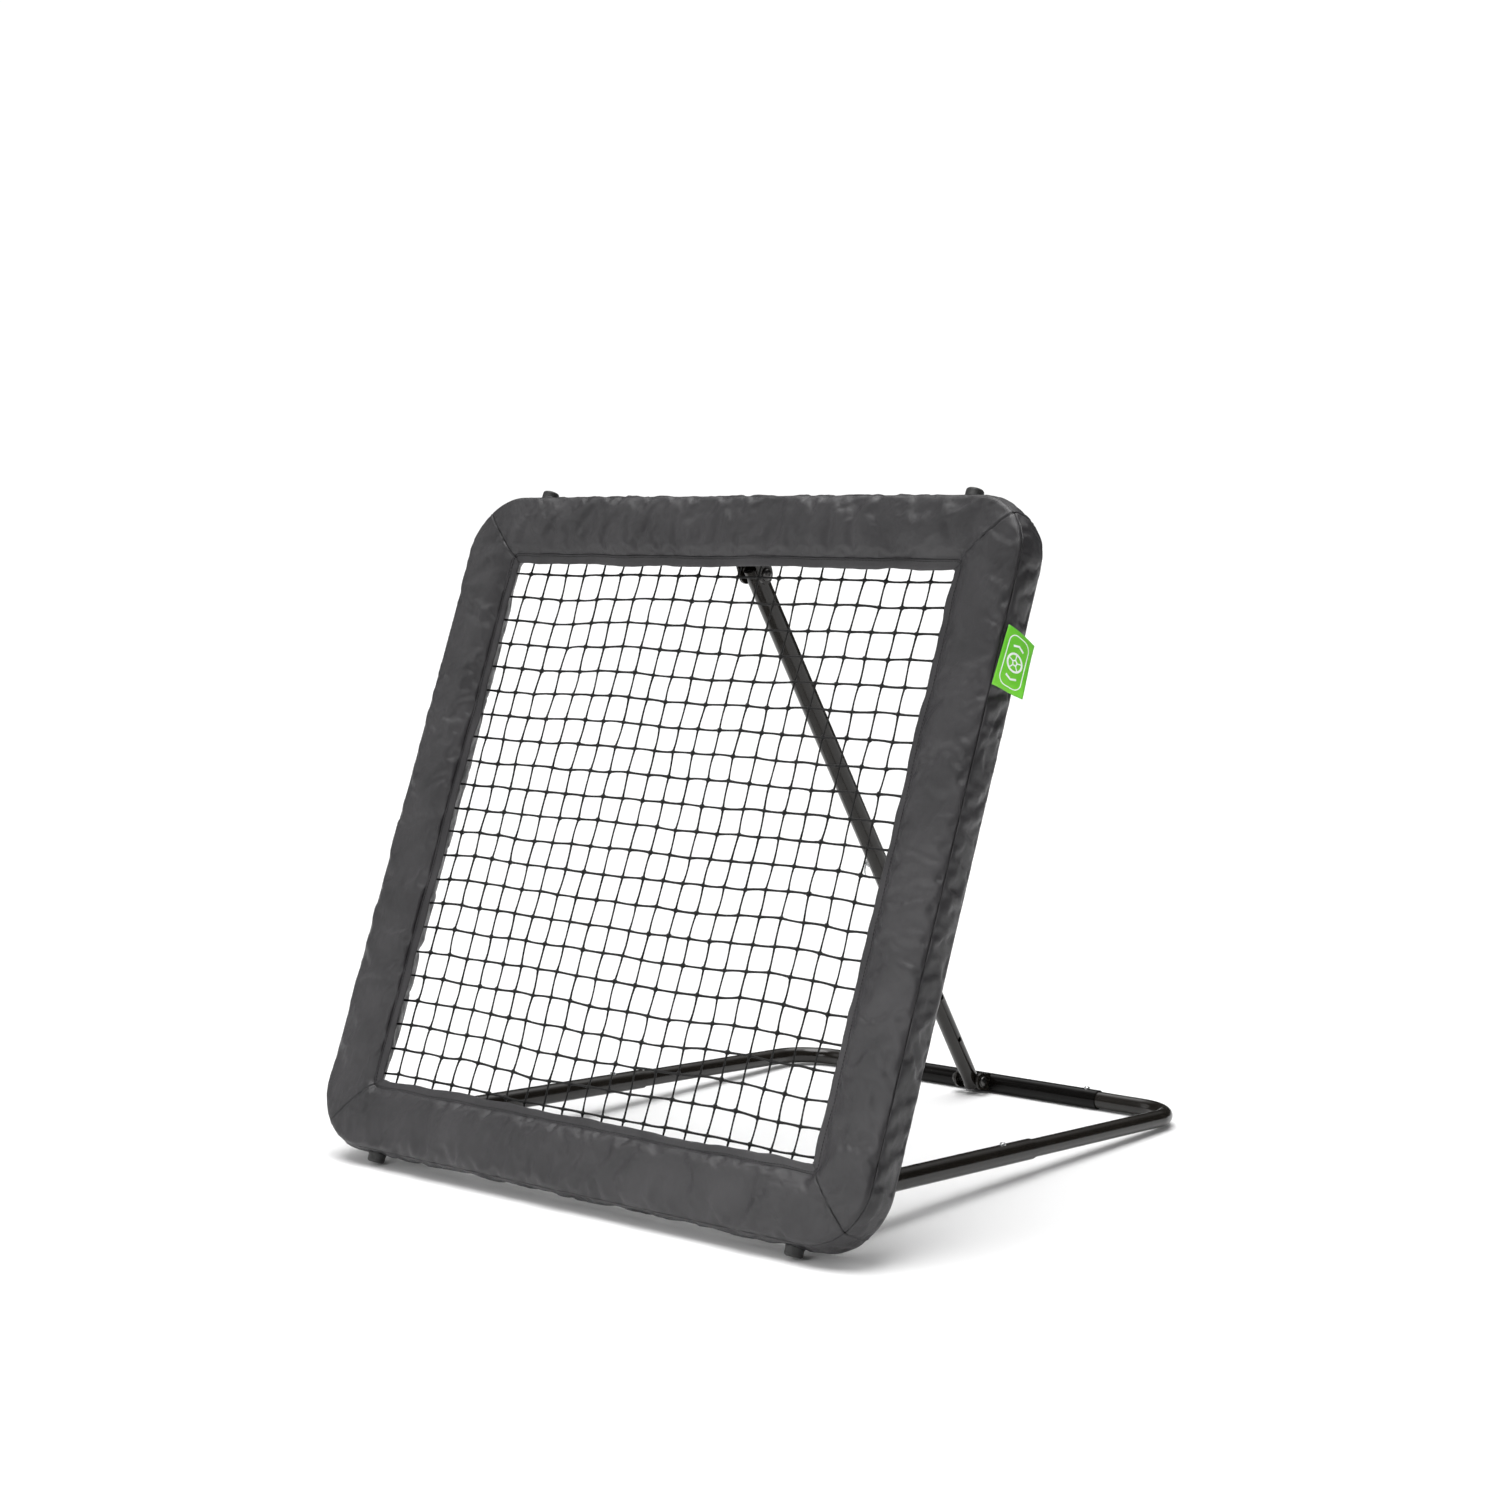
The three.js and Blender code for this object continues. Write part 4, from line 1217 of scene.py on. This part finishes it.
def make_net():
    knots = net_knots()
    draw = random.Random(9)
    parts = []

    def twine(a, b):
        way = b - a
        bow = np.array([draw.uniform(-0.8, 0.8) for _ in range(3)])
        shares = np.array([0.0, 0.12, 0.35, 0.65, 0.88, 1.0])
        path = a + way * shares[:, None] + bow * (np.sin(shares * math.pi))[:, None]
        level = abs(way[0]) > abs(way[2])
        thick = draw.uniform(0.92, 1.1) * (1.3 if level else 1.08)
        parts.append(tube(path, thick * np.array([1.5, 1.2, 1.0, 1.0, 1.2, 1.5]), 6))

    for i in range(CORDS):
        for j in range(CORDS):
            if i + 1 < CORDS:
                twine(knots[i, j], knots[i + 1, j])
            if j + 1 < CORDS:
                twine(knots[i, j], knots[i, j + 1])
    shapes, faces = knot_shape(draw)
    for knot in knots.reshape(-1, 3):
        size = draw.uniform(0.85, 1.12)
        parts.append((shapes[draw.randrange(len(shapes))] * size + knot, faces))
    vertices, polygons = merge(parts)
    net = add_piece("knotted_net", vertices, polygons, TWINE, PANEL, "panel")
    replace(net, "net_twine", "net")


def make_rope():
    """The rope round the net: three strands laid together."""
    line = ROPE_LINE
    turning = ((0, -line), (line, -line), (line, line), (-line, line), (-line, -line),
               (-0.01, -line))
    route = Route([(x, TUBE_DEPTH, HALF + up) for x, up in turning], bend=6.0)
    steps = np.arange(0, route.length, 2.6)
    samples = [route.at(s) for s in steps]
    centres = np.array([p for p, _ in samples])
    first, second = ring_frames(centres, closed=True)
    turns = round(route.length / 16)
    parts = []
    for strand in range(3):
        angle = 2 * math.pi * (turns * steps / route.length + strand / 3)
        path = centres + 1.35 * (np.cos(angle)[:, None] * first + np.sin(angle)[:, None] * second)
        parts.append(tube(path, 1.5, 6, closed=True))
    rope = solid_piece("net_edge_rope", parts, ROPE, PANEL, "panel", 80)
    replace(rope, "cord", "net_rope")


def make_lacing():
    """Elastic cord that loops round the frame tube and the net's rope by turns."""
    for side, name in enumerate(PAD_SIDES):
        path = []
        for i in range(2 * LACING_TURNS + 1):
            along = -LACING_REACH + LACING_REACH * i / LACING_TURNS
            if i % 2:
                centre, radius, start = HALF - TUBE_INSET, 14.6, math.radians(-65)
            else:
                centre, radius, start = ROPE_LINE, 4.9, math.radians(115)
            for step in range(9):
                angle = start + math.radians(130) * step / 8
                out = centre + radius * math.cos(angle)
                depth = TUBE_DEPTH + radius * math.sin(angle)
                path.append((along + (step - 4) * 0.7, depth, -out))
        path = np.array(path)
        turn = side * math.pi / 2
        x = path[:, 0] * math.cos(turn) - path[:, 2] * math.sin(turn)
        up = path[:, 0] * math.sin(turn) + path[:, 2] * math.cos(turn)
        placed = np.stack([x, path[:, 1], up + HALF], 1)
        cord = [tube(placed, 1.5, 7)]
        lacing = solid_piece(f"elastic_lacing_{name}", cord, ELASTIC, PANEL, "panel", 80)
        replace(lacing, "cord", f"lacing_{name}")


make_rope()
make_net()
make_lacing()

# ----------------------------------------------------------------------- the feet


def make_feet():
    reach = LARGE + 0.3
    for edge, up, way in (("bottom", TUBE_INSET, -1), ("top", SIDE - TUBE_INSET, 1)):
        for side, sign in (("left", -1), ("right", 1)):
            start = (sign * FOOT_X, TUBE_DEPTH, up + way * reach)
            length = TUBE_INSET - reach + FOOT_OUT
            route = Route([start, (start[0], start[1], start[2] + way * length)])
            r = FOOT_RADIUS
            profile = [(0, r - 1), (0.4, r)] + [(length - back, radius) for back, radius in (
                (12, r), (11.2, r + 0.3), (9.6, r + 0.3), (8.8, r - 0.1), (3.0, r - 0.2),
                (1.5, r - 0.6), (0.5, r - 1.6), (0, r - 3.0), (0, 4.2), (1.4, 3.6), (1.6, 0.4))]
            foot = solid_piece(f"rubber_foot_{edge}_{side}", [lathe(route, profile, 40, (0, 1, 0))],
                               RUBBER, PANEL, "panel", 50)
            replace(foot, "foot_rubber", f"foot_{edge}_{side}")


make_feet()

# ---------------------------------------------------------------------- the label

TAB_WIDE, TAB_HIGH, TAB_AT = 38.0, 67.0, 656.0
TAB_DROOP = 9.0
LABEL_LIFT, PRINT_LOW, PRINT_HIGH = 0.45, 0.3, 0.62


def label_point(s, t, lift=0.0):
    """A point on the label. s runs from the seam to the free edge and t up it."""

    def turn(here):
        return math.radians(34 - 34 * here + 62 * here ** 3 * (1 - t) ** 2 + 14 * here * here)

    x, depth = HALF - 2.2 + 4 * t, 7.8
    steps = 12
    for step in range(steps):
        angle = turn((step + 0.5) / steps * s)
        x += math.sin(angle) * TAB_WIDE * s / steps
        depth += math.cos(angle) * TAB_WIDE * s / steps
    angle = turn(s)
    up = TAB_AT + (t - 0.5) * TAB_HIGH * (1 - 0.08 * s) - TAB_DROOP * s ** 1.2
    return (x + lift * math.cos(angle), depth - lift * math.sin(angle), up)


def shape_on_label(outline, lift):
    return [label_point(s / TAB_WIDE, t / TAB_HIGH, lift) for s, t in outline]


def band(points, half_width, closed=True):
    """A flat band round a line in the label's plane, as two lines."""
    points = np.array(points)
    ahead = np.roll(points, -1, 0) - np.roll(points, 1, 0)
    if not closed:
        ahead[0], ahead[-1] = points[1] - points[0], points[-1] - points[-2]
    ahead /= np.linalg.norm(ahead, axis=1)[:, None]
    side = np.stack([-ahead[:, 1], ahead[:, 0]], 1) * half_width
    return points - side, points + side


def make_label():
    rows, columns = 18, 26
    front, back = [], []
    for i in range(rows + 1):
        for j in range(columns + 1):
            s, t = i / rows, j / columns
            front.append(label_point(s, t, LABEL_LIFT))
            back.append(label_point(s, t, -LABEL_LIFT))
    sheet = grid_faces(rows + 1, columns + 1, wrap_columns=False)
    count = len(front)
    faces = sheet + [tuple(i + count for i in face)[::-1] for face in sheet]
    edge = list(range(columns + 1))
    edge += [i * (columns + 1) + columns for i in range(1, rows + 1)]
    edge += [rows * (columns + 1) + j for j in range(columns - 1, -1, -1)]
    edge += [i * (columns + 1) for i in range(rows - 1, 0, -1)]
    for a, b in zip(edge, edge[1:] + edge[:1]):
        faces.append((b, a, a + count, b + count))
    label = add_piece("side_label", front + back, faces, LABEL, PANEL, "panel")
    face_outwards(label)
    replace(label, "label", "label_tab")

    parts = []

    def print_band(points, half_width, closed=True):
        inner, outer = band(points, half_width, closed)
        n = len(points)
        vertices = []
        for lift in (PRINT_HIGH, PRINT_LOW):
            vertices += shape_on_label(inner, lift) + shape_on_label(outer, lift)
        polygons = []
        for i in range(n if closed else n - 1):
            k = (i + 1) % n
            polygons += [(i, k, n + k, n + i), (2 * n + i, 3 * n + i, 3 * n + k, 2 * n + k),
                         (i, 2 * n + i, 2 * n + k, k), (n + i, n + k, 3 * n + k, 3 * n + i)]
        if not closed:
            polygons += [(0, n, 3 * n, 2 * n), (n - 1, 3 * n - 1, 4 * n - 1, 2 * n - 1)]
        parts.append((vertices, polygons))

    # a rounded outline
    outline, inset, bend = [], 5.5, 9.0
    low, right, top = inset + bend, TAB_WIDE - inset - bend, TAB_HIGH - inset - bend
    for cx, cy, start in ((right, low, -90), (right, top, 0), (low, top, 90), (low, low, 180)):
        for step in range(9):
            angle = math.radians(start + 90 * step / 8)
            outline.append((cx + bend * math.cos(angle), cy + bend * math.sin(angle)))
    dense = []
    for a, b in zip(outline, outline[1:] + outline[:1]):
        pieces = max(1, int(math.dist(a, b) / 3))
        dense += [tuple(p + (q - p) * k / pieces for p, q in zip(a, b)) for k in range(pieces)]
    print_band(dense, 0.55)

    # a plain ball between two chevrons
    middle = (TAB_WIDE / 2, TAB_HIGH / 2)

    def round_middle(radius, angle):
        return middle[0] + radius * math.cos(angle), middle[1] + radius * math.sin(angle)

    fifths = np.linspace(0, 2 * math.pi, 5, endpoint=False)
    print_band([round_middle(9.5, a) for a in np.linspace(0, 2 * math.pi, 40, endpoint=False)], 1.1)
    print_band([round_middle(3.2, a + math.pi / 2) for a in fifths], 0.9)
    for a in fifths + math.pi / 2:
        print_band([round_middle(r, a) for r in (3.6, 6.0, 8.8)], 0.6, False)
    for offset, rise in ((-16.0, -3.0), (16.0, 3.0)):
        chevron = [(middle[0] + x, middle[1] + offset + rise * (1 - abs(x) / 7))
                   for x in (-7, -3.5, 0, 3.5, 7)]
        print_band(chevron, 1.1, False)
    ink = solid_piece("side_label_print", parts, INK, PANEL, "panel", 60)


make_label()

# ---------------------------------------------------------------------- the tubes

TUBE_SIDES = 56
BOLT_HOLE, BUTTON_HOLE, PIN_HOLE = 4.3, 4.2, 3.4


def wall_profile(start, end, outer, inner, stations=()):
    """The wall of a tube from start to end, with softened ends. stations are places
    along it that get close rings, because something is cut there."""
    chamfer = 0.35
    marks = {start + chamfer, end - chamfer}
    for station in stations:
        marks |= {station + d for d in (-9, -6, -3, 0, 3, 6, 9)}
    marks = sorted(m for m in marks if start + chamfer <= m <= end - chamfer)
    outside = [(start, outer - chamfer)] + [(m, outer) for m in marks] + [(end, outer - chamfer)]
    inside = [(start, inner + chamfer)] + [(m, inner) for m in marks] + [(end, inner + chamfer)]
    return outside + inside[::-1]


def punch(centre, way, radius, reach, outer):
    """A cutter for a hole through one wall, with a slight countersink."""
    centre, way = np.array(centre, float), np.array(way, float)
    route = Route([centre, centre + way * reach])
    wide = radius + 1.2
    profile = [(0, radius), (outer - 0.9, radius), (outer + 0.9, wide), (reach, wide)]
    up = (1, 0, 0) if abs(way[0]) < 0.5 else (0, 0, 1)
    return lathe(route, profile, 28, up)


def bend_stations(first, bend_length, count=22):
    return [first + bend_length * i / count for i in range(count + 1)]


def make_tube(name, route, outer, inner, holes, matrix, body, node, stations=(), up=(0, 0, 1)):
    """A painted tube along a whole route. holes are (station, direction, radius)."""
    profile = wall_profile(0, route.length, outer, inner, [h[0] for h in holes])
    if stations:
        middle = len(profile) // 2
        outside = sorted(set(profile[:middle] + [(s, outer) for s in stations]))
        inside = sorted(set(profile[middle:] + [(s, inner) for s in stations]), reverse=True)
        profile = outside + inside
    # the cross tube gets the copy of the paint with painted shade
    paint = SHADED_PAINT if name == "cross_tube" else PAINT
    piece = solid_piece(name, [spun(route, profile, TUBE_SIDES, up)], paint, matrix, body)
    cut_holes(piece, [punch(route.at(station)[0], way, radius, 22, outer)
                      for station, way, radius in holes])
    round_normals(piece, route, (outer, inner))
    replace(piece, "painted_tube", node)


UP, LEFT, RIGHT = (0, 0, 1), (-1, 0, 0), (1, 0, 0)


def make_base():
    for side, sign in (("left", -1), ("right", 1)):
        x = sign * HINGE_X
        arm_route = Route([(x, ARM_START, 0), (x, ARM_END, 0)])
        hinge = -ARM_START
        holes = [(at + hinge, UP, BUTTON_HOLE) for at in (*ARM_HOLES, BUTTON_AT)]
        holes += [(hinge, LEFT, BOLT_HOLE), (hinge, RIGHT, BOLT_HOLE)]
        make_tube(f"arm_tube_{side}", arm_route, LARGE, LARGE_INNER, holes,
                  BASE, "base_arms", f"arm_{side}")

        corners = [(x, ELBOW_START, 0), (x, BASE_REACH, 0), (sign * ELBOW_END_X, BASE_REACH, 0)]
        before = BASE_REACH - ELBOW_BEND - ELBOW_START
        bend_length = math.pi / 2 * ELBOW_BEND
        button_run = before + bend_length + (HINGE_X - ELBOW_BEND - CROSS_BUTTON_X)
        holes = [(BUTTON_AT - ELBOW_START, UP, BUTTON_HOLE), (button_run, UP, BUTTON_HOLE)]
        make_tube(f"elbow_tube_{side}", Route(corners, ELBOW_BEND), SMALL, SMALL_INNER, holes,
                  BASE, "rear_base", f"rear_elbow_{side}", bend_stations(before, bend_length))

        cap_route = Route([(x, ARM_START, 0), (x, ARM_START - 2.3, 0)])
        profile = [(-4, LARGE_INNER - 0.5), (-0.2, LARGE_INNER - 0.3), (0.3, LARGE - 0.3),
                   (0.6, LARGE), (1.5, LARGE - 0.1), (2.1, LARGE - 0.9), (2.3, LARGE - 2.2),
                   (2.3, 6), (1.9, 4.5), (1.9, 0.4)]
        cap = solid_piece(f"arm_plug_{side}", [lathe(cap_route, profile, 48)],
                          PLASTIC, BASE, "base_arms")
        replace(cap, "end_cap", f"arm_cap_{side}")

        make_button(f"arm_spring_button_{side}", (x, BUTTON_AT, 0), f"arm_button_{side}")
        make_button(f"rear_spring_button_{side}", (sign * CROSS_BUTTON_X, BASE_REACH, 0),
                    f"rear_button_{side}")

    cross_route = Route([(-CROSS_HALF, BASE_REACH, 0), (CROSS_HALF, BASE_REACH, 0)])
    holes = [(CROSS_HALF + sign * CROSS_BUTTON_X, UP, BUTTON_HOLE) for sign in (-1, 1)]
    make_tube("cross_tube", cross_route, LARGE, LARGE_INNER, holes,
              BASE, "rear_base", "rear_cross_tube")


def make_button(name, at, node):
    """A round spring button that stands out of its hole. Its body and its CAD node
    have the same name."""
    base, top, r = SMALL_INNER - 4.5, LARGE + 2.9, 3.9
    route = Route([at, (at[0], at[1], 30)])
    profile = [(base, 0.4), (base, r - 0.4), (base + 0.4, r), (top - 2.2, r), (top - 1.4, r - 0.25),
               (top - 0.7, r - 0.9), (top - 0.25, r - 1.8), (top, r - 3.3)]
    button = solid_piece(name, [lathe(route, profile, 32, (1, 0, 0))], ZINC, BASE, node, 60)
    replace(button, "zinc", node)


make_base()

# ---------------------------------------------------------------------- the strut


UPPER_START, UPPER_END, LOWER_START = -10.0, 487.0, 400.0
RING_RADIUS = 11.0


def both_ways(station, radius):
    return [(station, LEFT, radius), (station, RIGHT, radius)]


def make_strut():
    holes = both_ways(-UPPER_START, BOLT_HOLE) + both_ways(LOCK_AT - UPPER_START, PIN_HOLE)
    make_tube("strut_outer_tube", Route([(0, 0, UPPER_START), (0, 0, UPPER_END)]), LARGE,
              LARGE_INNER, holes, STRUT, "strut_upper", "strut_upper", up=(0, 1, 0))

    end = STRUT_LENGTH + 7
    holes = []
    for i in range(LOCK_HOLES):
        holes += both_ways(LOCK_AT - LOWER_START + i * LOCK_PITCH, PIN_HOLE)
    holes += both_ways(STRUT_LENGTH - LOWER_START, BOLT_HOLE)
    make_tube("strut_inner_tube", Route([(0, 0, LOWER_START), (0, 0, end)]), SMALL,
              SMALL_INNER, holes, STRUT, "strut_lower", "strut_lower", up=(0, 1, 0))

    cap_route = Route([(0, 0, end), (0, 0, end + 5)])
    profile = [(-2, SMALL_INNER - 0.5), (0, SMALL_INNER - 0.3), (0.3, SMALL - 0.2), (0.6, SMALL),
               (1.2, SMALL - 0.1), (2.4, SMALL * 0.93), (3.6, SMALL * 0.78), (4.5, SMALL * 0.52),
               (4.9, SMALL * 0.25), (5.0, 0.4)]
    cap = solid_piece("strut_plug", [lathe(cap_route, profile, 48, (0, 1, 0))],
                      PLASTIC, STRUT, "strut_lower", 50)
    replace(cap, "end_cap", "strut_end_cap")

    collar = LARGE + 0.3
    start = collar + 2.6
    route = Route([(start, 0, LOCK_AT), (-40, 0, LOCK_AT)])
    shoulder = start + collar
    profile = [(0, 0.4), (0.5, 1.9), (1.6, 2.8), (2.4, 3.0)]
    profile += [(shoulder + past, radius) for past, radius in (
        (-0.05, 3.0), (0, 5.4), (0.4, 5.6), (2.6, 5.6), (3.0, 5.2), (3.2, 3.2), (8.2, 3.1),
        (9.0, 2.3), (9.2, 0.4))]
    pin = solid_piece("locking_pin", [lathe(route, profile, 32)], ZINC, STRUT, "lock_pin", 50)
    ring_x = -collar - 6
    cross = Route([(ring_x, -10, LOCK_AT), (ring_x, 10, LOCK_AT)])
    cut_holes(pin, [lathe(cross, [(0, 1.6), (20, 1.6)], 20)])
    crease(pin, 40)
    replace(pin, "zinc", "lock_pin")

    ring = [(ring_x, RING_RADIUS * math.sin(a), LOCK_AT + RING_RADIUS - RING_RADIUS * math.cos(a))
            for a in np.linspace(0, 2 * math.pi, 64, endpoint=False)]
    loop = solid_piece("pull_ring", [tube(ring, 0.95, 12, closed=True)],
                       ZINC, STRUT, "lock_ring", 80)
    replace(loop, "zinc", "lock_ring")


make_strut()

# ------------------------------------------------------------- bolts and brackets


def bolt_parts(at, inner_half, through, stub_end=0.0):
    """A domed bolt with a washer on the +X side and a lock nut on the -X side."""
    x, y, z = at
    face = inner_half + EAR + 0.05
    right = Route([(x + face, y, z), (x + face + 10, y, z)])
    left = Route([(x - face, y, z), (x - face - 10, y, z)])
    washer = [(0, 4.0), (0, 7.6), (0.2, 7.9), (0.9, 7.9), (1.1, 7.6), (1.1, 4.0)]
    head = [(1.1, 0.4), (1.1, 5.9), (1.5, 6.4), (2.4, 6.2), (3.3, 5.2), (4.0, 3.6), (4.3, 2.2),
            (3.4, 2.0), (3.2, 0.3)]
    nut_face = [(6.0, 0.4), (6.0, 5.3), (7.2, 5.2), (7.7, 4.6), (7.7, 4.1), (7.0, 3.95), (7.0, 0.4)]
    bolt = [lathe(right, washer, 40), lathe(right, head, 40)]
    if through:
        shank = Route([(x + face + 1.2, y, z), (x - face - 9, y, z)])
        length = 2 * face + 9.6
        bolt.append(lathe(shank, [(0, 3.9), (length - 0.6, 3.9), (length, 3.3)], 32))
    else:
        stub = face - stub_end
        bolt.append(lathe(Route([(x + face + 1.2, y, z), (x + stub_end, y, z)]),
                          [(0, 3.9), (stub + 0.7, 3.9), (stub + 1.2, 3.4)], 32))
    nut = [
        lathe(left, washer, 40),
        hexagon(left, [(1.1, 0.93), (1.6, 1.0), (5.6, 1.0), (6.2, 0.92)], 12.4),
        lathe(left, nut_face, 40),
    ]
    if not through:
        nut.append(lathe(Route([(x - face - 8, y, z), (x - stub_end, y, z)]),
                         [(0, 3.4), (0.5, 3.9), (stub + 7.5, 3.9), (stub + 8, 3.4)], 32))
    return bolt, nut


def add_bolt(pieces, nodes, parts, matrix, body):
    """A bolt and its lock nut, with their pieces' names and the CAD nodes' names."""
    for name, node, solids, sharp in zip(pieces, nodes, parts, (40, 30)):
        replace(solid_piece(name, solids, DARK_ZINC, matrix, body, sharp), "zinc", node)


def make_bolts():
    for side, sign in (("left", -1), ("right", 1)):
        add_bolt((f"hinge_bolt_{side}", f"hinge_locknut_{side}"),
                 (f"hinge_{side}_bolt", f"hinge_{side}_nut"),
                 bolt_parts((sign * HINGE_X, PIVOT_DEPTH, HINGE_UP), EAR_HALF, True),
                 PANEL, "hinge_pins")
    add_bolt(("strut_top_pivot_bolt", "strut_top_locknut"), ("strut_top_bolt", "strut_top_nut"),
             bolt_parts((0, PIVOT_DEPTH, STRUT_UP), EAR_HALF, True), PANEL, "strut_pin")
    add_bolt(("strut_rear_bolt", "strut_rear_locknut"), ("strut_bolt_rear", "strut_nut_rear"),
             bolt_parts((0, FOOT_LOCAL.y, FOOT_LOCAL.z), REAR_EAR_HALF, False, STUB_END),
             BASE, "rear_base")


FOOT_LOCAL = (BASE.inverted() @ strut_foot_at) / MM
make_bolts()


WELD_RADIUS = 1.7


def weld(start, end):
    """A bead of weld between two points, with the ripples that the torch leaves."""
    start, end = np.array(start, float), np.array(end, float)
    count = max(8, int(np.linalg.norm(end - start) / 0.5))
    shares = np.linspace(0, 1, count)
    path = start + (end - start) * shares[:, None]
    ripple = 1 + 0.13 * np.abs(np.sin(shares * np.linalg.norm(end - start) * 1.5))
    taper = np.clip(np.minimum(shares, 1 - shares) * 8, 0.25, 1) ** 0.5
    return tube(path, WELD_RADIUS * ripple * taper, 10)


def bracket_welds(x, tube_at, pivot_at, inner_half, half_width):
    """Beads along both long edges of a bracket's web. tube_at and pivot_at are
    (second, third) coordinates of the frame that the bracket is in."""
    tube_at, pivot_at = np.array(tube_at), np.array(pivot_at)
    way = (pivot_at - tube_at) / np.linalg.norm(pivot_at - tube_at)
    side = np.array([-way[1], way[0]])
    beads = []
    for sign in (-1, 1):
        spot = tube_at + way * (LARGE - 0.6) + side * sign * (half_width - 5.2)
        if half_width > 10:
            spot = tube_at + way * (LARGE - 1.9) + side * sign * (half_width - 4.6)
        reach = inner_half + EAR - 1.5
        beads.append(weld((x - reach, *spot), (x + reach, *spot)))
    return beads


panel_beads = []
for x_place in (-HINGE_X, HINGE_X):
    panel_beads += bracket_welds(
        x_place, (TUBE_DEPTH, TUBE_INSET), (PIVOT_DEPTH, HINGE_UP), EAR_HALF, 12)
panel_beads += bracket_welds(
    0, (TUBE_DEPTH, SIDE - TUBE_INSET), (PIVOT_DEPTH, STRUT_UP), EAR_HALF, 12)
rear_beads = bracket_welds(
    0, (BASE_REACH, 0), (FOOT_LOCAL.y, FOOT_LOCAL.z), REAR_EAR_HALF, REAR_EAR_WIDTH)
# the rear weld beads get the copy of the paint with painted shade
for bead_name, beads, paint, matrix, body in (
        ("panel_weld_beads", panel_beads, PAINT, PANEL, "panel"),
        ("rear_weld_beads", rear_beads, SHADED_PAINT, BASE, "rear_base")):
    solid_piece(bead_name, beads, paint, matrix, body, 70)

for bracket in ("hinge_bracket_left", "hinge_bracket_right", "strut_bracket_top",
                "strut_bracket_rear"):
    bevelled(bracket, PAINT, 0.45, 40)
for frame_node in ("frame_tube_bottom", "frame_tube_top", "frame_spigot_left",
                   "frame_spigot_right"):
    bevelled(frame_node, PAINT, 0.2, 60)
